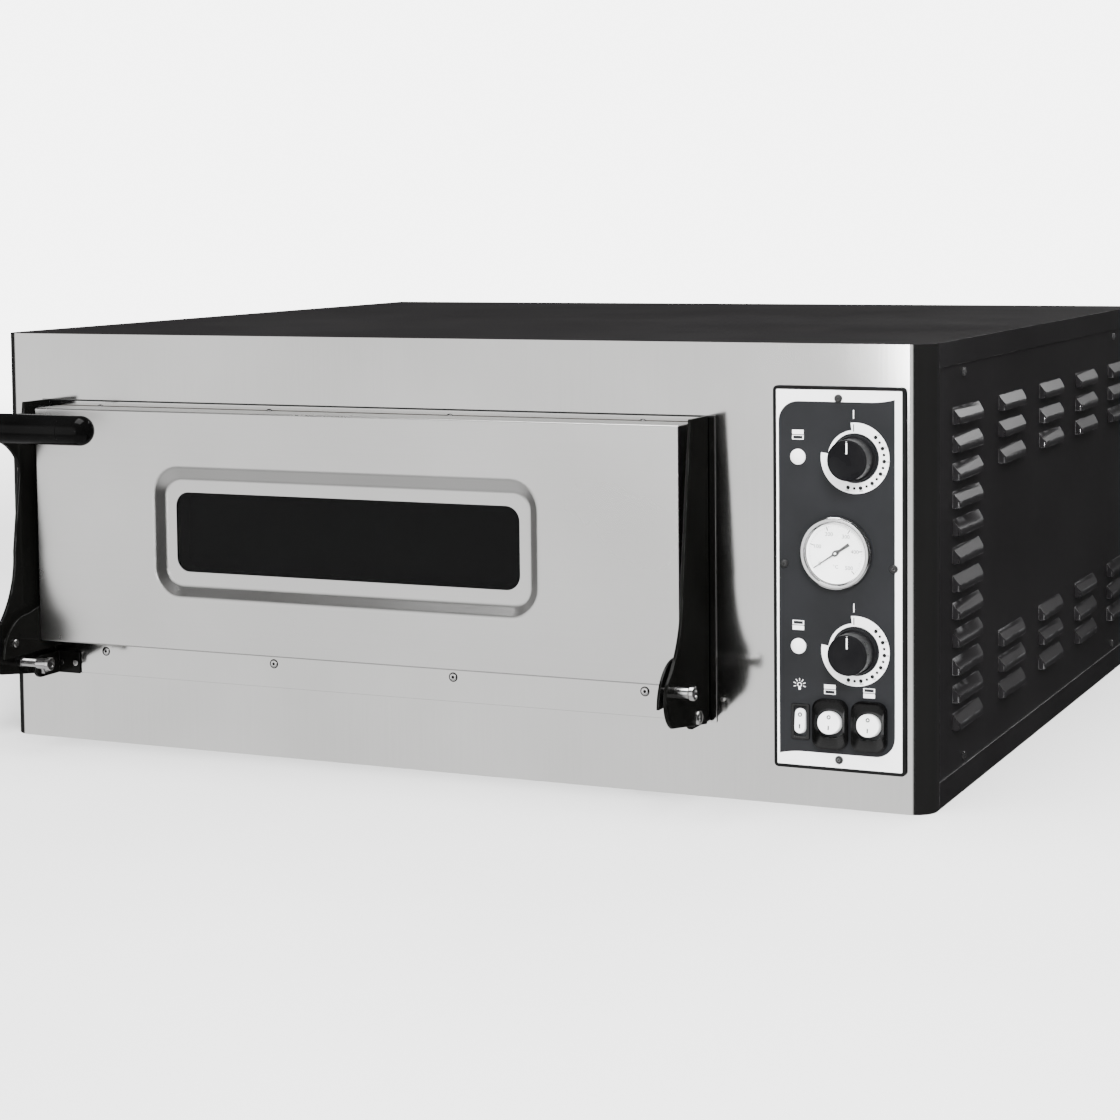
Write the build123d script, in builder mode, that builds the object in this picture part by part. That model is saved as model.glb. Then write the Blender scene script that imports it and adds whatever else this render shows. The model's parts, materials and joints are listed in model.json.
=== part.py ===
from build123d import *
import os

# Single-deck electric pizza oven for a counter. Millimetres.
# X runs to the right as seen from the front, Y runs to the back, Z runs up.
# The origin is the centre of the footprint, on the surface the oven stands on.
# A size named "out" is a distance out from the front face, towards the user.

# ---- casing ----
body_width = 975.0
body_depth = 870.0
body_height = 413.0
front_sheet = 1.5
cover_sheet = 1.2
panel_sheet = 1.0
corner_radius = 20.0
front_return = 27.0
top_flange = 22.0
tray_flange = 24.0
sheet_gap = 0.3

# ---- casing screws ----
screw_radius = 1.9
screw_length = 8.0
screw_head_radius = 3.8
screw_head_height = 2.2
side_screw_front = 110.0
side_screw_rear = 750.0
side_screw_low = 32.0
side_screw_high = 383.0
rear_screw_inset = 30.0

# ---- louvres of the side panels ----
louvre_width = 88.0
louvre_height = 15.0
louvre_lip = 6.0
louvre_bulge = 6.0
louvre_brow = 3.0
louvre_end_wall = 2.0
louvre_end_radius = 5.5
louvre_pitch_up = 25.1
louvre_pitch_back = 162.5
louvre_first_back = 118.0
louvre_bottom = 62.0
louvre_rows = 12
louvre_columns = 5
louvre_group = 3

# ---- rear panel ----
vent_rows = 8
vent_x = 410.0
vent_bottom = 200.0
vent_pitch = 16.0
vent_width = 70.0
vent_height = 6.0
gland_x = 420.0
gland_z = 60.0
gland_radius = 10.0
gland_nut_radius = 14.0
gland_bore = 6.5
gland_inside = 10.0
gland_outside = 22.0
gland_collar = 11.0
gland_neck_radius = 9.0
gland_nut_thickness = 7.3

# ---- baking chamber ----
chamber_centre = -75.0
chamber_width = 660.0
chamber_depth = 700.0
chamber_floor = 74.0
chamber_ceiling = 292.0
liner_sheet = 1.2
mouth_width = 646.0
mouth_bottom = 128.0
mouth_top = 282.0
stone_top = 130.0
stone_thickness = 18.0
stone_gap = 2.0
stone_rows = 2
stone_columns = 2
rail_sheet = 2.0
rail_flange = 18.0
wall_right = 330.0
blanket_gap = 0.3

# ---- heating elements, probes and lamp ----
element_radius = 4.0
element_count = 4
element_leg_spacing = 60.0
element_wall_gap = 11.0
element_drop = 19.0
element_end_gap = 25.0
element_cold_end = 16.0
collar_radius = 8.0
collar_thickness = 3.0
hole_clearance = 0.5
probe_radius = 3.0
probe_length = 120.0
capillary_radius = 1.0
capillary_bend = 12.0
oven_lamp_y = 90.0
oven_lamp_z = 215.0
oven_lamp_radius = 24.0
oven_lamp_bore = 22.0
oven_lamp_flange_radius = 29.0
lamp_flange = 3.0
lens_thickness = 5.0
oven_lamp_tail = 16.0
bulb_radius = 10.0
bulb_length = 55.0
end_round_share = 0.9

# ---- front frame behind the door ----
frame_width = 728.0
frame_bottom = 69.0
frame_top = 347.0
frame_sheet = 1.5
frame_screw_pitch = 196.0
frame_screw_columns = 4
frame_screw_low = 23.5
frame_screw_high = 9.0
frame_screw_radius = 4.6
frame_screw_rise = 0.8
frame_socket_radius = 1.5
frame_socket_depth = 0.4

# ---- door ----
door_width = 690.0
door_bottom = 107.0
door_height = 234.0
door_face = 42.0
door_back = 6.0
door_sheet = 1.2
window_width = 413.0
window_height = 127.0
window_flank = 11.0
window_depth = 7.0
window_band_side = 10.5
window_band_top = 13.5
window_height_centre = 223.0
window_radius = 28.0
opening_radius = 14.0
glass_thickness = 4.0
glass_lap = 9.0
door_blanket_gap = 1.2
door_blanket_window = 27.0
seal_width = 12.0
seal_inset = 9.0
seal_gap = 0.2

# ---- door arms ----
arm_gap = 9.5
arm_plate = 3.0
arm_back = 3.0
arm_foot = 68.5
heel_out = 9.0
heel_height = 80.5
arm_top = 347.0
arm_top_depth = 44.7
waist_out = 66.0
waist_height = 200.0
flare_out = 75.0
flare_height = 156.0
toe_top_out = 97.0
toe_top_height = 126.0
toe_out = 107.0
toe_height = 98.0
toe_under_out = 92.0
toe_under_height = 80.0
web_out = 18.0
horn_top = 336.0
horn_end = 12.0
horn_bend_out = 78.0
horn_bend_height = 307.0
horn_root_out = 54.0
horn_root_height = 281.0
horn_overlap = 10.0
cheek_sheet = 2.5
cheek_front_out = 100.0
cheek_radius = 40.0
cheek_bottom = 97.0
cheek_top = 150.0

# ---- pivots, studs and handle ----
pivot_out = 33.0
pivot_height = 79.0
pivot_radius = 5.0
pivot_clearance = 0.05
ear_sheet = 3.0
ear_radius = 11.0
ear_gap = 1.5
ear_clear = 0.3
bracket_flange = 28.0
bracket_sheet = 2.0
bracket_screw_inset = 7.0
bracket_screw_radius = 3.0
bolt_head_radius = 6.5
bolt_head_height = 4.5
washer_radius = 9.0
nut_radius = 7.5
nut_thickness = 6.0
thread_tail = 1.0
stud_out = 84.0
stud_height = 111.0
stud_radius = 4.0
stud_length = 18.0
stud_tail = 3.0
sleeve_radius = 5.2
pull_pin_out = 66.0
pull_pin_height = 89.0
pull_pin_radius = 4.0
pull_pin_length = 40.0
pull_sleeve = 16.0
grip_out = 115.0
grip_height = 327.0
grip_radius = 14.5
grip_length = 128.0
grip_bolt_radius = 4.0
grip_bolt_reach = 40.0

# ---- control fascia ----
fascia_centre = 405.0
fascia_middle = 204.8
fascia_width = 121.5
fascia_height = 341.5
fascia_corner = 4.0
fascia_thickness = 3.0
overlay_thickness = 0.4
overlay_margin = 3.2
fascia_screw_inset = 10.5
fascia_screw_side_z = 217.0
fascia_screw_radius = 3.7
fascia_screw_rise = 1.8
fascia_socket_radius = 1.25
fascia_socket_depth = 0.9
control_clearance = 0.3

# ---- thermostats and knobs ----
knob_x = 420.0
knob_upper_z = 313.0
knob_lower_z = 142.5
knob_radius = 20.0
knob_face_radius = 18.0
knob_skirt = 4.0
knob_height = 24.0
knob_cap = 4.0
knob_edge = 1.5
knob_gap = 0.6
shaft_radius = 3.0
shaft_clearance = 0.05
boss_radius = 4.5
thermostat_width = 40.0
thermostat_depth = 34.0

# ---- thermometer ----
thermometer_x = 402.8
thermometer_z = 228.7
thermometer_radius = 32.5
thermometer_case_radius = 27.5
gauge_depth = 35.0
bezel_height = 6.0
dial_radius = 29.3
dial_depth = 1.4
dial_thickness = 0.5
gauge_lens = 1.2
pointer_gap = 0.5
pointer_thickness = 0.8
pointer_pin_radius = 1.0
pointer_hub_radius = 2.6
pointer_reach = 24.0
pointer_width = 0.9
pointer_tail = 15.0
pointer_tail_width = 2.4
pointer_rest_angle = 214.0

# ---- pilot lamps and switches ----
lamp_x = 367.7
lamp_upper_z = 312.8
lamp_lower_z = 144.1
lamp_radius = 7.0
lamp_rise = 3.0
lamp_round_share = 0.8
lamp_stem_radius = 5.0
lamp_depth = 22.0
switch_z = 76.5
light_switch_x = 369.4
upper_switch_x = 397.5
lower_switch_x = 433.3
switch_depth = 24.0
switch_body_height = 30.0
light_body_width = 14.0
light_surround_width = 17.0
light_surround_height = 32.0
light_surround_radius = 1.5
light_surround_rise = 1.6
light_pocket_width = 11.0
light_pocket_height = 26.0
light_rocker_reach = 4.5
switch_body_width = 25.0
switch_surround_width = 32.0
switch_surround_height = 44.5
switch_surround_radius = 9.0
switch_surround_rise = 6.0
switch_pocket_width = 22.0
switch_pocket_height = 24.0
switch_rocker_reach = 9.0
rocker_tilt = 8.0
rocker_pivot_out = 2.0
rocker_depth = 5.0
rocker_root = 1.5
rocker_play = 0.5
rocker_end_play = 1.8
trunnion_radius = 1.2
trunnion_length = 0.8

# ---- supply terminals ----
terminal_x = 400.0
terminal_y = 390.0
terminal_width = 60.0
terminal_depth = 22.0
terminal_height = 24.0
terminal_pitch = 11.0
terminal_ways = 5
terminal_bore = 2.75
terminal_bore_depth = 6.0

# ---- worked out from the sizes above ----
front = -body_depth / 2
back = body_depth / 2
side = body_width / 2
seam = front + front_return + sheet_gap
cover_inside = side - cover_sheet
panel_inside = cover_inside - panel_sheet
panel_top = body_height - cover_sheet - sheet_gap
panel_bottom = cover_sheet + sheet_gap
chamber_front = front + front_sheet
chamber_back = chamber_front + chamber_depth
chamber_left = chamber_centre - chamber_width / 2
chamber_right = chamber_centre + chamber_width / 2
mouth_x = (chamber_centre - mouth_width / 2, chamber_centre + mouth_width / 2)
door_top = door_bottom + door_height
door_half = door_width / 2
arm_inner = door_half + arm_gap
arm_outer = arm_inner + arm_plate
ear_outer = arm_inner - ear_gap
ear_inner = ear_outer - ear_sheet
overlay_face = fascia_thickness + overlay_thickness
element_upper_z = chamber_ceiling - element_wall_gap
element_lower_z = stone_top - stone_thickness - element_drop
element_rows = [chamber_front + chamber_depth * (i + 0.5) / element_count for i in range(element_count)]
probe_y = (element_rows[-2] + element_rows[-1]) / 2
bulb_levels = {"upper": element_upper_z, "lower": element_lower_z}
knob_levels = {"upper": knob_upper_z, "lower": knob_lower_z}


def block(x, y, z, mode=Mode.ADD):
    """Add or cut a box between two limits along each axis."""
    with Locations(((x[0] + x[1]) / 2, (y[0] + y[1]) / 2, (z[0] + z[1]) / 2)):
        Box(x[1] - x[0], y[1] - y[0], z[1] - z[0], mode=mode)


def outward(near, far):
    """Limits along Y between two distances out from the front face."""
    return (front - far, front - near)


def around(middle, size):
    """Limits of a size centred on a middle."""
    return (middle - size / 2, middle + size / 2)


def rod_x(x, y, z, radius, mode=Mode.ADD):
    """Add or cut a round rod that runs along X between two limits."""
    with Locations(Location(((x[0] + x[1]) / 2, y, z), (0, 90, 0))):
        Cylinder(radius, x[1] - x[0], mode=mode)


def rod_y(x, y, z, radius, mode=Mode.ADD):
    """Add or cut a round rod that runs along Y between two limits."""
    with Locations(Location((x, (y[0] + y[1]) / 2, z), (90, 0, 0))):
        Cylinder(radius, y[1] - y[0], mode=mode)


def front_plane(out):
    """Plane parallel to the front face at a distance out from it, with X to the right and Z up."""
    return Plane(origin=(0, front - out, 0), x_dir=(1, 0, 0), z_dir=(0, -1, 0))


def side_plane(x):
    """Plane across the oven at one X, drawn with Y of the oven to the right and Z up."""
    return Plane(origin=(x, 0, 0), x_dir=(0, 1, 0), z_dir=(1, 0, 0))


def span(side_sign, near, far):
    """Limits along X between two distances from the door's middle, on one side of it."""
    ends = (chamber_centre + side_sign * near, chamber_centre + side_sign * far)
    return (min(ends), max(ends))


def plan(inset, y_end, z):
    """Plan of the casing with its rounded front corners, drawn in by an inset, back to one Y."""
    width = body_width - 2 * inset
    depth = y_end - front - inset
    with BuildSketch(Plane.XY.offset(z)) as outline:
        with Locations((0, front + inset + depth / 2)):
            Rectangle(width, depth)
        fillet(outline.vertices().group_by(Axis.Y)[0], corner_radius - inset)
    return outline.sketch


def save(piece, name):
    """Label a finished piece and write it as one STEP file."""
    piece.part.label = name
    export_step(piece.part, f"parts/{name}.step")


os.makedirs("parts", exist_ok=True)

# ==== casing ====

round_holes = [(knob_x, knob_upper_z, boss_radius), (knob_x, knob_lower_z, boss_radius)]
round_holes += [(lamp_x, lamp_upper_z, lamp_stem_radius), (lamp_x, lamp_lower_z, lamp_stem_radius)]
round_holes += [(thermometer_x, thermometer_z, thermometer_case_radius)]
square_holes = [(light_switch_x, light_body_width, switch_body_height)]
square_holes += [(upper_switch_x, switch_body_width, switch_body_height)]
square_holes += [(lower_switch_x, switch_body_width, switch_body_height)]


def cut_control_holes(y):
    """Cut the holes for the shafts, gauge, pilot lamps and switches through the part in hand."""
    for x, z, radius in round_holes:
        rod_y(x, y, z, radius + control_clearance, Mode.SUBTRACT)
    for x, width, height in square_holes:
        hole_x = around(x, width + 2 * control_clearance)
        hole_z = around(switch_z, height + 2 * control_clearance)
        block(hole_x, y, hole_z, Mode.SUBTRACT)


with BuildPart() as front_panel:
    extrude(plan(0, front + front_return, 0), amount=body_height)
    extrude(plan(front_sheet, front + front_return + front_sheet, 0), amount=body_height, mode=Mode.SUBTRACT)
    block(mouth_x, outward(-front_sheet, 0), (mouth_bottom, mouth_top), Mode.SUBTRACT)
    cut_control_holes(outward(-front_sheet, 0))
save(front_panel, "front_panel")

with BuildPart() as top_cover:
    extrude(plan(front_sheet + sheet_gap, seam, body_height - cover_sheet), amount=cover_sheet)
    block((-side, side), (seam, back), (body_height - cover_sheet, body_height))
    for inner in (-side, cover_inside):
        block((inner, inner + cover_sheet), (seam, back), (body_height - top_flange, body_height))
save(top_cover, "top_cover")

with BuildPart() as base_tray:
    extrude(plan(front_sheet + sheet_gap, seam, 0), amount=cover_sheet)
    block((-side, side), (seam, back), (0, cover_sheet))
    for inner in (-side, cover_inside):
        block((inner, inner + cover_sheet), (seam, back), (0, tray_flange))
save(base_tray, "base_tray")

hood_half = louvre_width / 2
with BuildPart() as louvre_hood:
    with BuildSketch(Plane.XZ):
        with BuildLine():
            Polyline((-panel_sheet, louvre_height), (0, louvre_height), (louvre_bulge, louvre_lip),
                     (louvre_bulge, 0), (-panel_sheet, 0), close=True)
        make_face()
    extrude(amount=hood_half, both=True)
    ends = louvre_hood.edges().filter_by(Axis.Z).group_by(Axis.X)[-1]
    fillet(ends, louvre_end_radius)

hollow_top = louvre_height - louvre_brow
hollow_out = louvre_bulge - panel_sheet
with BuildPart() as louvre_hollow:
    with BuildSketch(Plane.XZ):
        with BuildLine():
            Polyline((-panel_sheet, hollow_top), (0, hollow_top), (hollow_out, louvre_lip - panel_sheet),
                     (hollow_out, 0), (-panel_sheet, 0), close=True)
        make_face()
    extrude(amount=hood_half - louvre_end_wall, both=True)

louvre_spots = []
for column in range(louvre_columns):
    for row in range(louvre_rows):
        if column == 0 or row < louvre_group or row >= louvre_rows - louvre_group:
            spot_y = front + louvre_first_back + column * louvre_pitch_back
            louvre_spots.append((cover_inside, spot_y, louvre_bottom + row * louvre_pitch_up))

side_screw_spots = [(front + side_screw_front, side_screw_low), (front + side_screw_front, side_screw_high),
                    (front + side_screw_rear, side_screw_low), (front + side_screw_rear, side_screw_high)]

with BuildPart() as side_panel_right:
    block((panel_inside, cover_inside), (seam, back - cover_sheet - sheet_gap), (panel_bottom, panel_top))
    with Locations(*louvre_spots):
        add(louvre_hood.part)
        add(louvre_hollow.part, mode=Mode.SUBTRACT)
    for y, z in side_screw_spots:
        rod_x((panel_inside, cover_inside), y, z, screw_radius, Mode.SUBTRACT)
save(side_panel_right, "side_panel_right")

with BuildPart() as side_panel_left:
    mirror(side_panel_right.part, about=Plane.YZ)
save(side_panel_left, "side_panel_left")

rear_screw_spots = [(x, z) for x in (-side + rear_screw_inset, 0, side - rear_screw_inset)
                    for z in (side_screw_low, side_screw_high)]

with BuildPart() as rear_panel:
    block((-panel_inside, panel_inside), (back - cover_sheet, back), (panel_bottom, panel_top))
    for row in range(vent_rows):
        slot_z = around(vent_bottom + row * vent_pitch, vent_height)
        block(around(vent_x, vent_width), (back - cover_sheet, back), slot_z, Mode.SUBTRACT)
    rod_y(gland_x, (back - cover_sheet, back), gland_z, gland_radius, Mode.SUBTRACT)
    for x, z in rear_screw_spots:
        rod_y(x, (back - cover_sheet, back), z, screw_radius, Mode.SUBTRACT)
save(rear_panel, "rear_panel")

with BuildPart() as casing_screws:
    for sign in (-1, 1):
        for y, z in side_screw_spots:
            for reach, radius in ((screw_length, screw_radius), (0, screw_head_radius)):
                ends = (sign * (cover_inside - reach), sign * (cover_inside + screw_head_height))
                rod_x((min(ends), max(ends)), y, z, radius)
    for x, z in rear_screw_spots:
        rod_y(x, (back - screw_length, back), z, screw_radius)
        rod_y(x, (back, back + screw_head_height), z, screw_head_radius)
save(casing_screws, "casing_screws")

with BuildPart() as cable_gland:
    rod_y(gland_x, (back - gland_inside, back + gland_collar), gland_z, gland_radius)
    with BuildSketch(Plane(origin=(gland_x, back, gland_z), x_dir=(1, 0, 0), z_dir=(0, 1, 0))):
        RegularPolygon(gland_nut_radius, 6)
    extrude(amount=gland_nut_thickness)
    rod_y(gland_x, (back, back + gland_outside), gland_z, gland_neck_radius)
    rod_y(gland_x, (back - gland_inside, back + gland_outside), gland_z, gland_bore, Mode.SUBTRACT)
save(cable_gland, "cable_gland")

# ==== baking chamber ====


def wall_holes(x, mode=Mode.SUBTRACT):
    """Cut the holes for the element legs, the probes and the lamp through the walls on the right."""
    for z in bulb_levels.values():
        for row in element_rows:
            for leg in (-element_leg_spacing / 2, element_leg_spacing / 2):
                rod_x(x, row + leg, z, element_radius + hole_clearance, mode)
        rod_x(x, probe_y, z, probe_radius + hole_clearance, mode)
    rod_x(x, oven_lamp_y, oven_lamp_z, oven_lamp_radius + hole_clearance, mode)


liner_x = (chamber_left - liner_sheet, chamber_right + liner_sheet)
liner_z = (chamber_floor - liner_sheet, chamber_ceiling + liner_sheet)
chamber_z = (chamber_floor, chamber_ceiling)
with BuildPart() as chamber_liner:
    block(liner_x, (chamber_front, chamber_back + liner_sheet), liner_z)
    block((chamber_left, chamber_right), (chamber_front, chamber_back), chamber_z, Mode.SUBTRACT)
    wall_holes((chamber_right, chamber_right + liner_sheet))
save(chamber_liner, "chamber_liner")

wall_x = (wall_right, wall_right + panel_sheet)
with BuildPart() as compartment_wall:
    block(wall_x, (chamber_front, back - cover_sheet), (cover_sheet, body_height - cover_sheet))
    wall_holes(wall_x)
save(compartment_wall, "compartment_wall")

# The blankets stop short of the screws that come in through the side and rear panels.
blanket_left = -cover_inside + screw_length + blanket_gap
blanket_right = wall_right - blanket_gap
blanket_rear = back - screw_length - blanket_gap
liner_out = liner_sheet + blanket_gap

with BuildPart() as insulation_top:
    block((blanket_left, blanket_right), (chamber_front + blanket_gap, blanket_rear),
          (chamber_ceiling + liner_out, body_height - cover_sheet - blanket_gap))
    # The blanket is cut back from the rounded front corner.
    block((blanket_left, blanket_left + corner_radius), (chamber_front, chamber_front + corner_radius),
          (0, body_height), Mode.SUBTRACT)
save(insulation_top, "insulation_top")

with BuildPart() as insulation_bottom:
    block((blanket_left, blanket_right), (chamber_front + blanket_gap, blanket_rear),
          (cover_sheet + blanket_gap, chamber_floor - liner_out))
    block((blanket_left, blanket_left + corner_radius), (chamber_front, chamber_front + corner_radius),
          (0, body_height), Mode.SUBTRACT)
save(insulation_bottom, "insulation_bottom")

with BuildPart() as insulation_sides:
    block((blanket_left, chamber_left - liner_out), (chamber_front + corner_radius, chamber_back), liner_z)
    block((chamber_right + liner_out, blanket_right), (chamber_front + blanket_gap, chamber_back), liner_z)
    wall_holes((chamber_right, wall_right))
save(insulation_sides, "insulation_sides")

with BuildPart() as insulation_back:
    block((blanket_left, blanket_right), (chamber_back + liner_out, blanket_rear), liner_z)
save(insulation_back, "insulation_back")

stone_width = (chamber_width - (stone_columns + 1) * stone_gap) / stone_columns
stone_depth = (chamber_depth - (stone_rows + 1) * stone_gap) / stone_rows
with BuildPart() as deck_stones:
    with Locations((chamber_centre, chamber_front + chamber_depth / 2, stone_top - stone_thickness / 2)):
        with GridLocations(stone_width + stone_gap, stone_depth + stone_gap, stone_columns, stone_rows):
            Box(stone_width, stone_depth, stone_thickness)
save(deck_stones, "deck_stones")

rail_height = stone_top - stone_thickness - chamber_floor
with BuildPart() as stone_rails:
    for row in range(stone_rows + 1):
        share = row / stone_rows
        rail_y = chamber_front + rail_flange / 2 + share * (chamber_depth - rail_flange)
        with Locations((chamber_centre, rail_y, chamber_floor + rail_height / 2)):
            Box(chamber_width - 2 * stone_gap, rail_sheet, rail_height)
        for z in (chamber_floor + rail_sheet / 2, chamber_floor + rail_height - rail_sheet / 2):
            with Locations((chamber_centre, rail_y, z)):
                Box(chamber_width - 2 * stone_gap, rail_flange - stone_gap, rail_sheet)
save(stone_rails, "stone_rails")


def heating_elements(z):
    """Hairpin tubes that run along X, each with a fixing collar on both legs."""
    bend_x = chamber_left + element_end_gap
    leg_end = wall_right + element_cold_end
    half = element_leg_spacing / 2
    with BuildPart() as hairpins:
        for row in element_rows:
            near = (bend_x + half, row - half, z)
            far = (bend_x + half, row + half, z)
            with BuildLine() as path:
                Line((leg_end, row - half, z), near)
                ThreePointArc(near, (bend_x, row, z), far)
                Line(far, (leg_end, row + half, z))
            with BuildSketch(Plane(origin=(leg_end, row - half, z), z_dir=(-1, 0, 0))) as tube:
                Circle(element_radius)
            sweep(tube.sketch, path=path.wire())
            for leg in (-half, half):
                collar = (wall_right + panel_sheet, wall_right + panel_sheet + collar_thickness)
                rod_x(collar, row + leg, z, collar_radius)
    return hairpins


upper_elements = heating_elements(element_upper_z)
save(upper_elements, "upper_elements")
lower_elements = heating_elements(element_lower_z)
save(lower_elements, "lower_elements")

with BuildPart() as oven_lamp_holder:
    rod_x((chamber_right - lamp_flange, chamber_right), oven_lamp_y, oven_lamp_z, oven_lamp_flange_radius)
    rod_x((chamber_right, wall_right + oven_lamp_tail), oven_lamp_y, oven_lamp_z, oven_lamp_radius)
    rod_x((chamber_right - lamp_flange, wall_right), oven_lamp_y, oven_lamp_z, oven_lamp_bore, Mode.SUBTRACT)
save(oven_lamp_holder, "oven_lamp_holder")

lens_face = chamber_right - lamp_flange
with BuildPart() as oven_lamp_lens:
    rod_x((lens_face - lens_thickness, lens_face), oven_lamp_y, oven_lamp_z, oven_lamp_flange_radius)
save(oven_lamp_lens, "oven_lamp_lens")

with BuildPart() as oven_lamp_bulb:
    rod_x((wall_right - bulb_length, wall_right), oven_lamp_y, oven_lamp_z, bulb_radius)
    fillet(oven_lamp_bulb.edges().group_by(Axis.X)[0], bulb_radius * end_round_share)
save(oven_lamp_bulb, "oven_lamp_bulb")

# ==== front frame and hinge brackets ====

frame_x = (chamber_centre - frame_width / 2, chamber_centre + frame_width / 2)
frame_screw_first = chamber_centre - (frame_screw_columns - 1) / 2 * frame_screw_pitch
frame_screw_spots = []
for column in range(frame_screw_columns):
    x = frame_screw_first + column * frame_screw_pitch
    frame_screw_spots += [(x, frame_bottom + frame_screw_low), (x, frame_top - frame_screw_high)]
with BuildPart() as mouth_frame:
    block(frame_x, outward(0, frame_sheet), (frame_bottom, frame_top))
    block(mouth_x, outward(0, frame_sheet), (mouth_bottom, mouth_top), Mode.SUBTRACT)
save(mouth_frame, "mouth_frame")

frame_screw_top = frame_sheet + frame_screw_rise
with BuildPart() as mouth_frame_screws:
    for x, z in frame_screw_spots:
        rod_y(x, outward(frame_sheet, frame_screw_top), z, frame_screw_radius)
        socket = outward(frame_screw_top - frame_socket_depth, frame_screw_top)
        rod_y(x, socket, z, frame_socket_radius, Mode.SUBTRACT)
save(mouth_frame_screws, "mouth_frame_screws")

pivot_y = front - pivot_out


def hinge_bracket(sign):
    """Ear that carries one door pivot, on a flange that lies on the front frame."""
    ear = span(sign, ear_inner, ear_outer)
    flange = span(sign, ear_outer - bracket_flange, ear_outer)
    ear_z = around(pivot_height, 2 * ear_radius)
    with BuildPart() as bracket:
        block(ear, (pivot_y, front - frame_sheet), ear_z)
        rod_x(ear, pivot_y, pivot_height, ear_radius)
        block(flange, outward(frame_sheet, frame_sheet + bracket_sheet), ear_z)
        rod_x(ear, pivot_y, pivot_height, pivot_radius + pivot_clearance, Mode.SUBTRACT)
    return bracket


hinge_bracket_left = hinge_bracket(-1)
save(hinge_bracket_left, "hinge_bracket_left")
hinge_bracket_right = hinge_bracket(1)
save(hinge_bracket_right, "hinge_bracket_right")

with BuildPart() as hinge_bracket_screws:
    for sign in (-1, 1):
        for reach in (bracket_screw_inset, bracket_flange - bracket_screw_inset + ear_sheet):
            x = chamber_centre + sign * (ear_outer - reach)
            screw = outward(frame_sheet + bracket_sheet, frame_sheet + bracket_sheet + screw_head_height)
            rod_y(x, screw, pivot_height, bracket_screw_radius)
save(hinge_bracket_screws, "hinge_bracket_screws")

# ==== door ====

door_x = (chamber_centre - door_half, chamber_centre + door_half)
door_z = (door_bottom, door_top)
floor_width = window_width - 2 * window_flank
floor_height = window_height - 2 * window_flank
opening_width = floor_width - 2 * window_band_side
opening_height = floor_height - 2 * window_band_top


def pressing(out, grow):
    """Tapered window pressing whose wide end is at one distance out, grown all round."""
    floor_radius = window_radius - window_flank + grow
    with BuildPart() as shape:
        with BuildSketch(front_plane(out)):
            with Locations((chamber_centre, window_height_centre)):
                RectangleRounded(window_width + 2 * grow, window_height + 2 * grow, window_radius + grow)
        with BuildSketch(front_plane(out - window_depth)):
            with Locations((chamber_centre, window_height_centre)):
                RectangleRounded(floor_width + 2 * grow, floor_height + 2 * grow, floor_radius)
        loft()
    return shape.part


def window_cut(out, width, height, radius):
    """Solid that cuts a rounded window through a door sheet, between two distances out."""
    with BuildPart() as shape:
        with BuildSketch(front_plane(out[0])):
            with Locations((chamber_centre, window_height_centre)):
                RectangleRounded(width, height, radius)
        extrude(amount=out[1] - out[0])
    return shape.part


def drawn_in(limits, amount):
    """Limits drawn in at both ends by an amount."""
    return (limits[0] + amount, limits[1] - amount)


with BuildPart() as door_outer_skin:
    block(door_x, outward(door_back + door_sheet, door_face), door_z)
    hollow = outward(door_back, door_face - door_sheet)
    block(drawn_in(door_x, door_sheet), hollow, drawn_in(door_z, door_sheet), Mode.SUBTRACT)
    add(pressing(door_face - door_sheet, door_sheet))
    add(pressing(door_face, 0), mode=Mode.SUBTRACT)
    add(window_cut((door_back, door_face), opening_width, opening_height, opening_radius), mode=Mode.SUBTRACT)
save(door_outer_skin, "door_outer_skin")

glass_front = door_face - window_depth - door_sheet
with BuildPart() as door_outer_glass:
    add(window_cut((glass_front - glass_thickness, glass_front), opening_width + 2 * glass_lap,
                   opening_height + 2 * glass_lap, opening_radius))
save(door_outer_glass, "door_outer_glass")

with BuildPart() as door_inner_skin:
    block(door_x, outward(door_back, door_back + door_sheet), door_z)
    add(window_cut((door_back, door_back + door_sheet), opening_width - 2 * glass_lap,
                   opening_height - glass_lap, opening_radius), mode=Mode.SUBTRACT)
save(door_inner_skin, "door_inner_skin")

inner_glass_back = door_back + door_sheet
with BuildPart() as door_inner_glass:
    add(window_cut((inner_glass_back, inner_glass_back + glass_thickness), opening_width, opening_height,
                   opening_radius))
save(door_inner_glass, "door_inner_glass")

blanket_face = glass_front - glass_thickness - blanket_gap
blanket_back = door_back + door_sheet + 2 * blanket_gap
blanket_edge = door_sheet + door_blanket_gap
with BuildPart() as door_insulation:
    block(drawn_in(door_x, blanket_edge), outward(blanket_back, blanket_face), drawn_in(door_z, blanket_edge))
    add(window_cut((0, door_face), opening_width + door_blanket_window, opening_height + door_blanket_window,
                   opening_radius), mode=Mode.SUBTRACT)
save(door_insulation, "door_insulation")

with BuildPart() as door_seal:
    seal_y = outward(frame_sheet + seal_gap, door_back)
    block(drawn_in(door_x, seal_inset), seal_y, drawn_in(door_z, seal_inset))
    seal_hole = seal_inset + seal_width
    block(drawn_in(door_x, seal_hole), seal_y, drawn_in(door_z, seal_hole), Mode.SUBTRACT)
save(door_seal, "door_seal")

# ==== door arms, handle and pivots ====


def arm_point(out, z):
    """Point of an arm's outline, given as a distance out from the front face and a height."""
    return (front - out, z)


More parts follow.
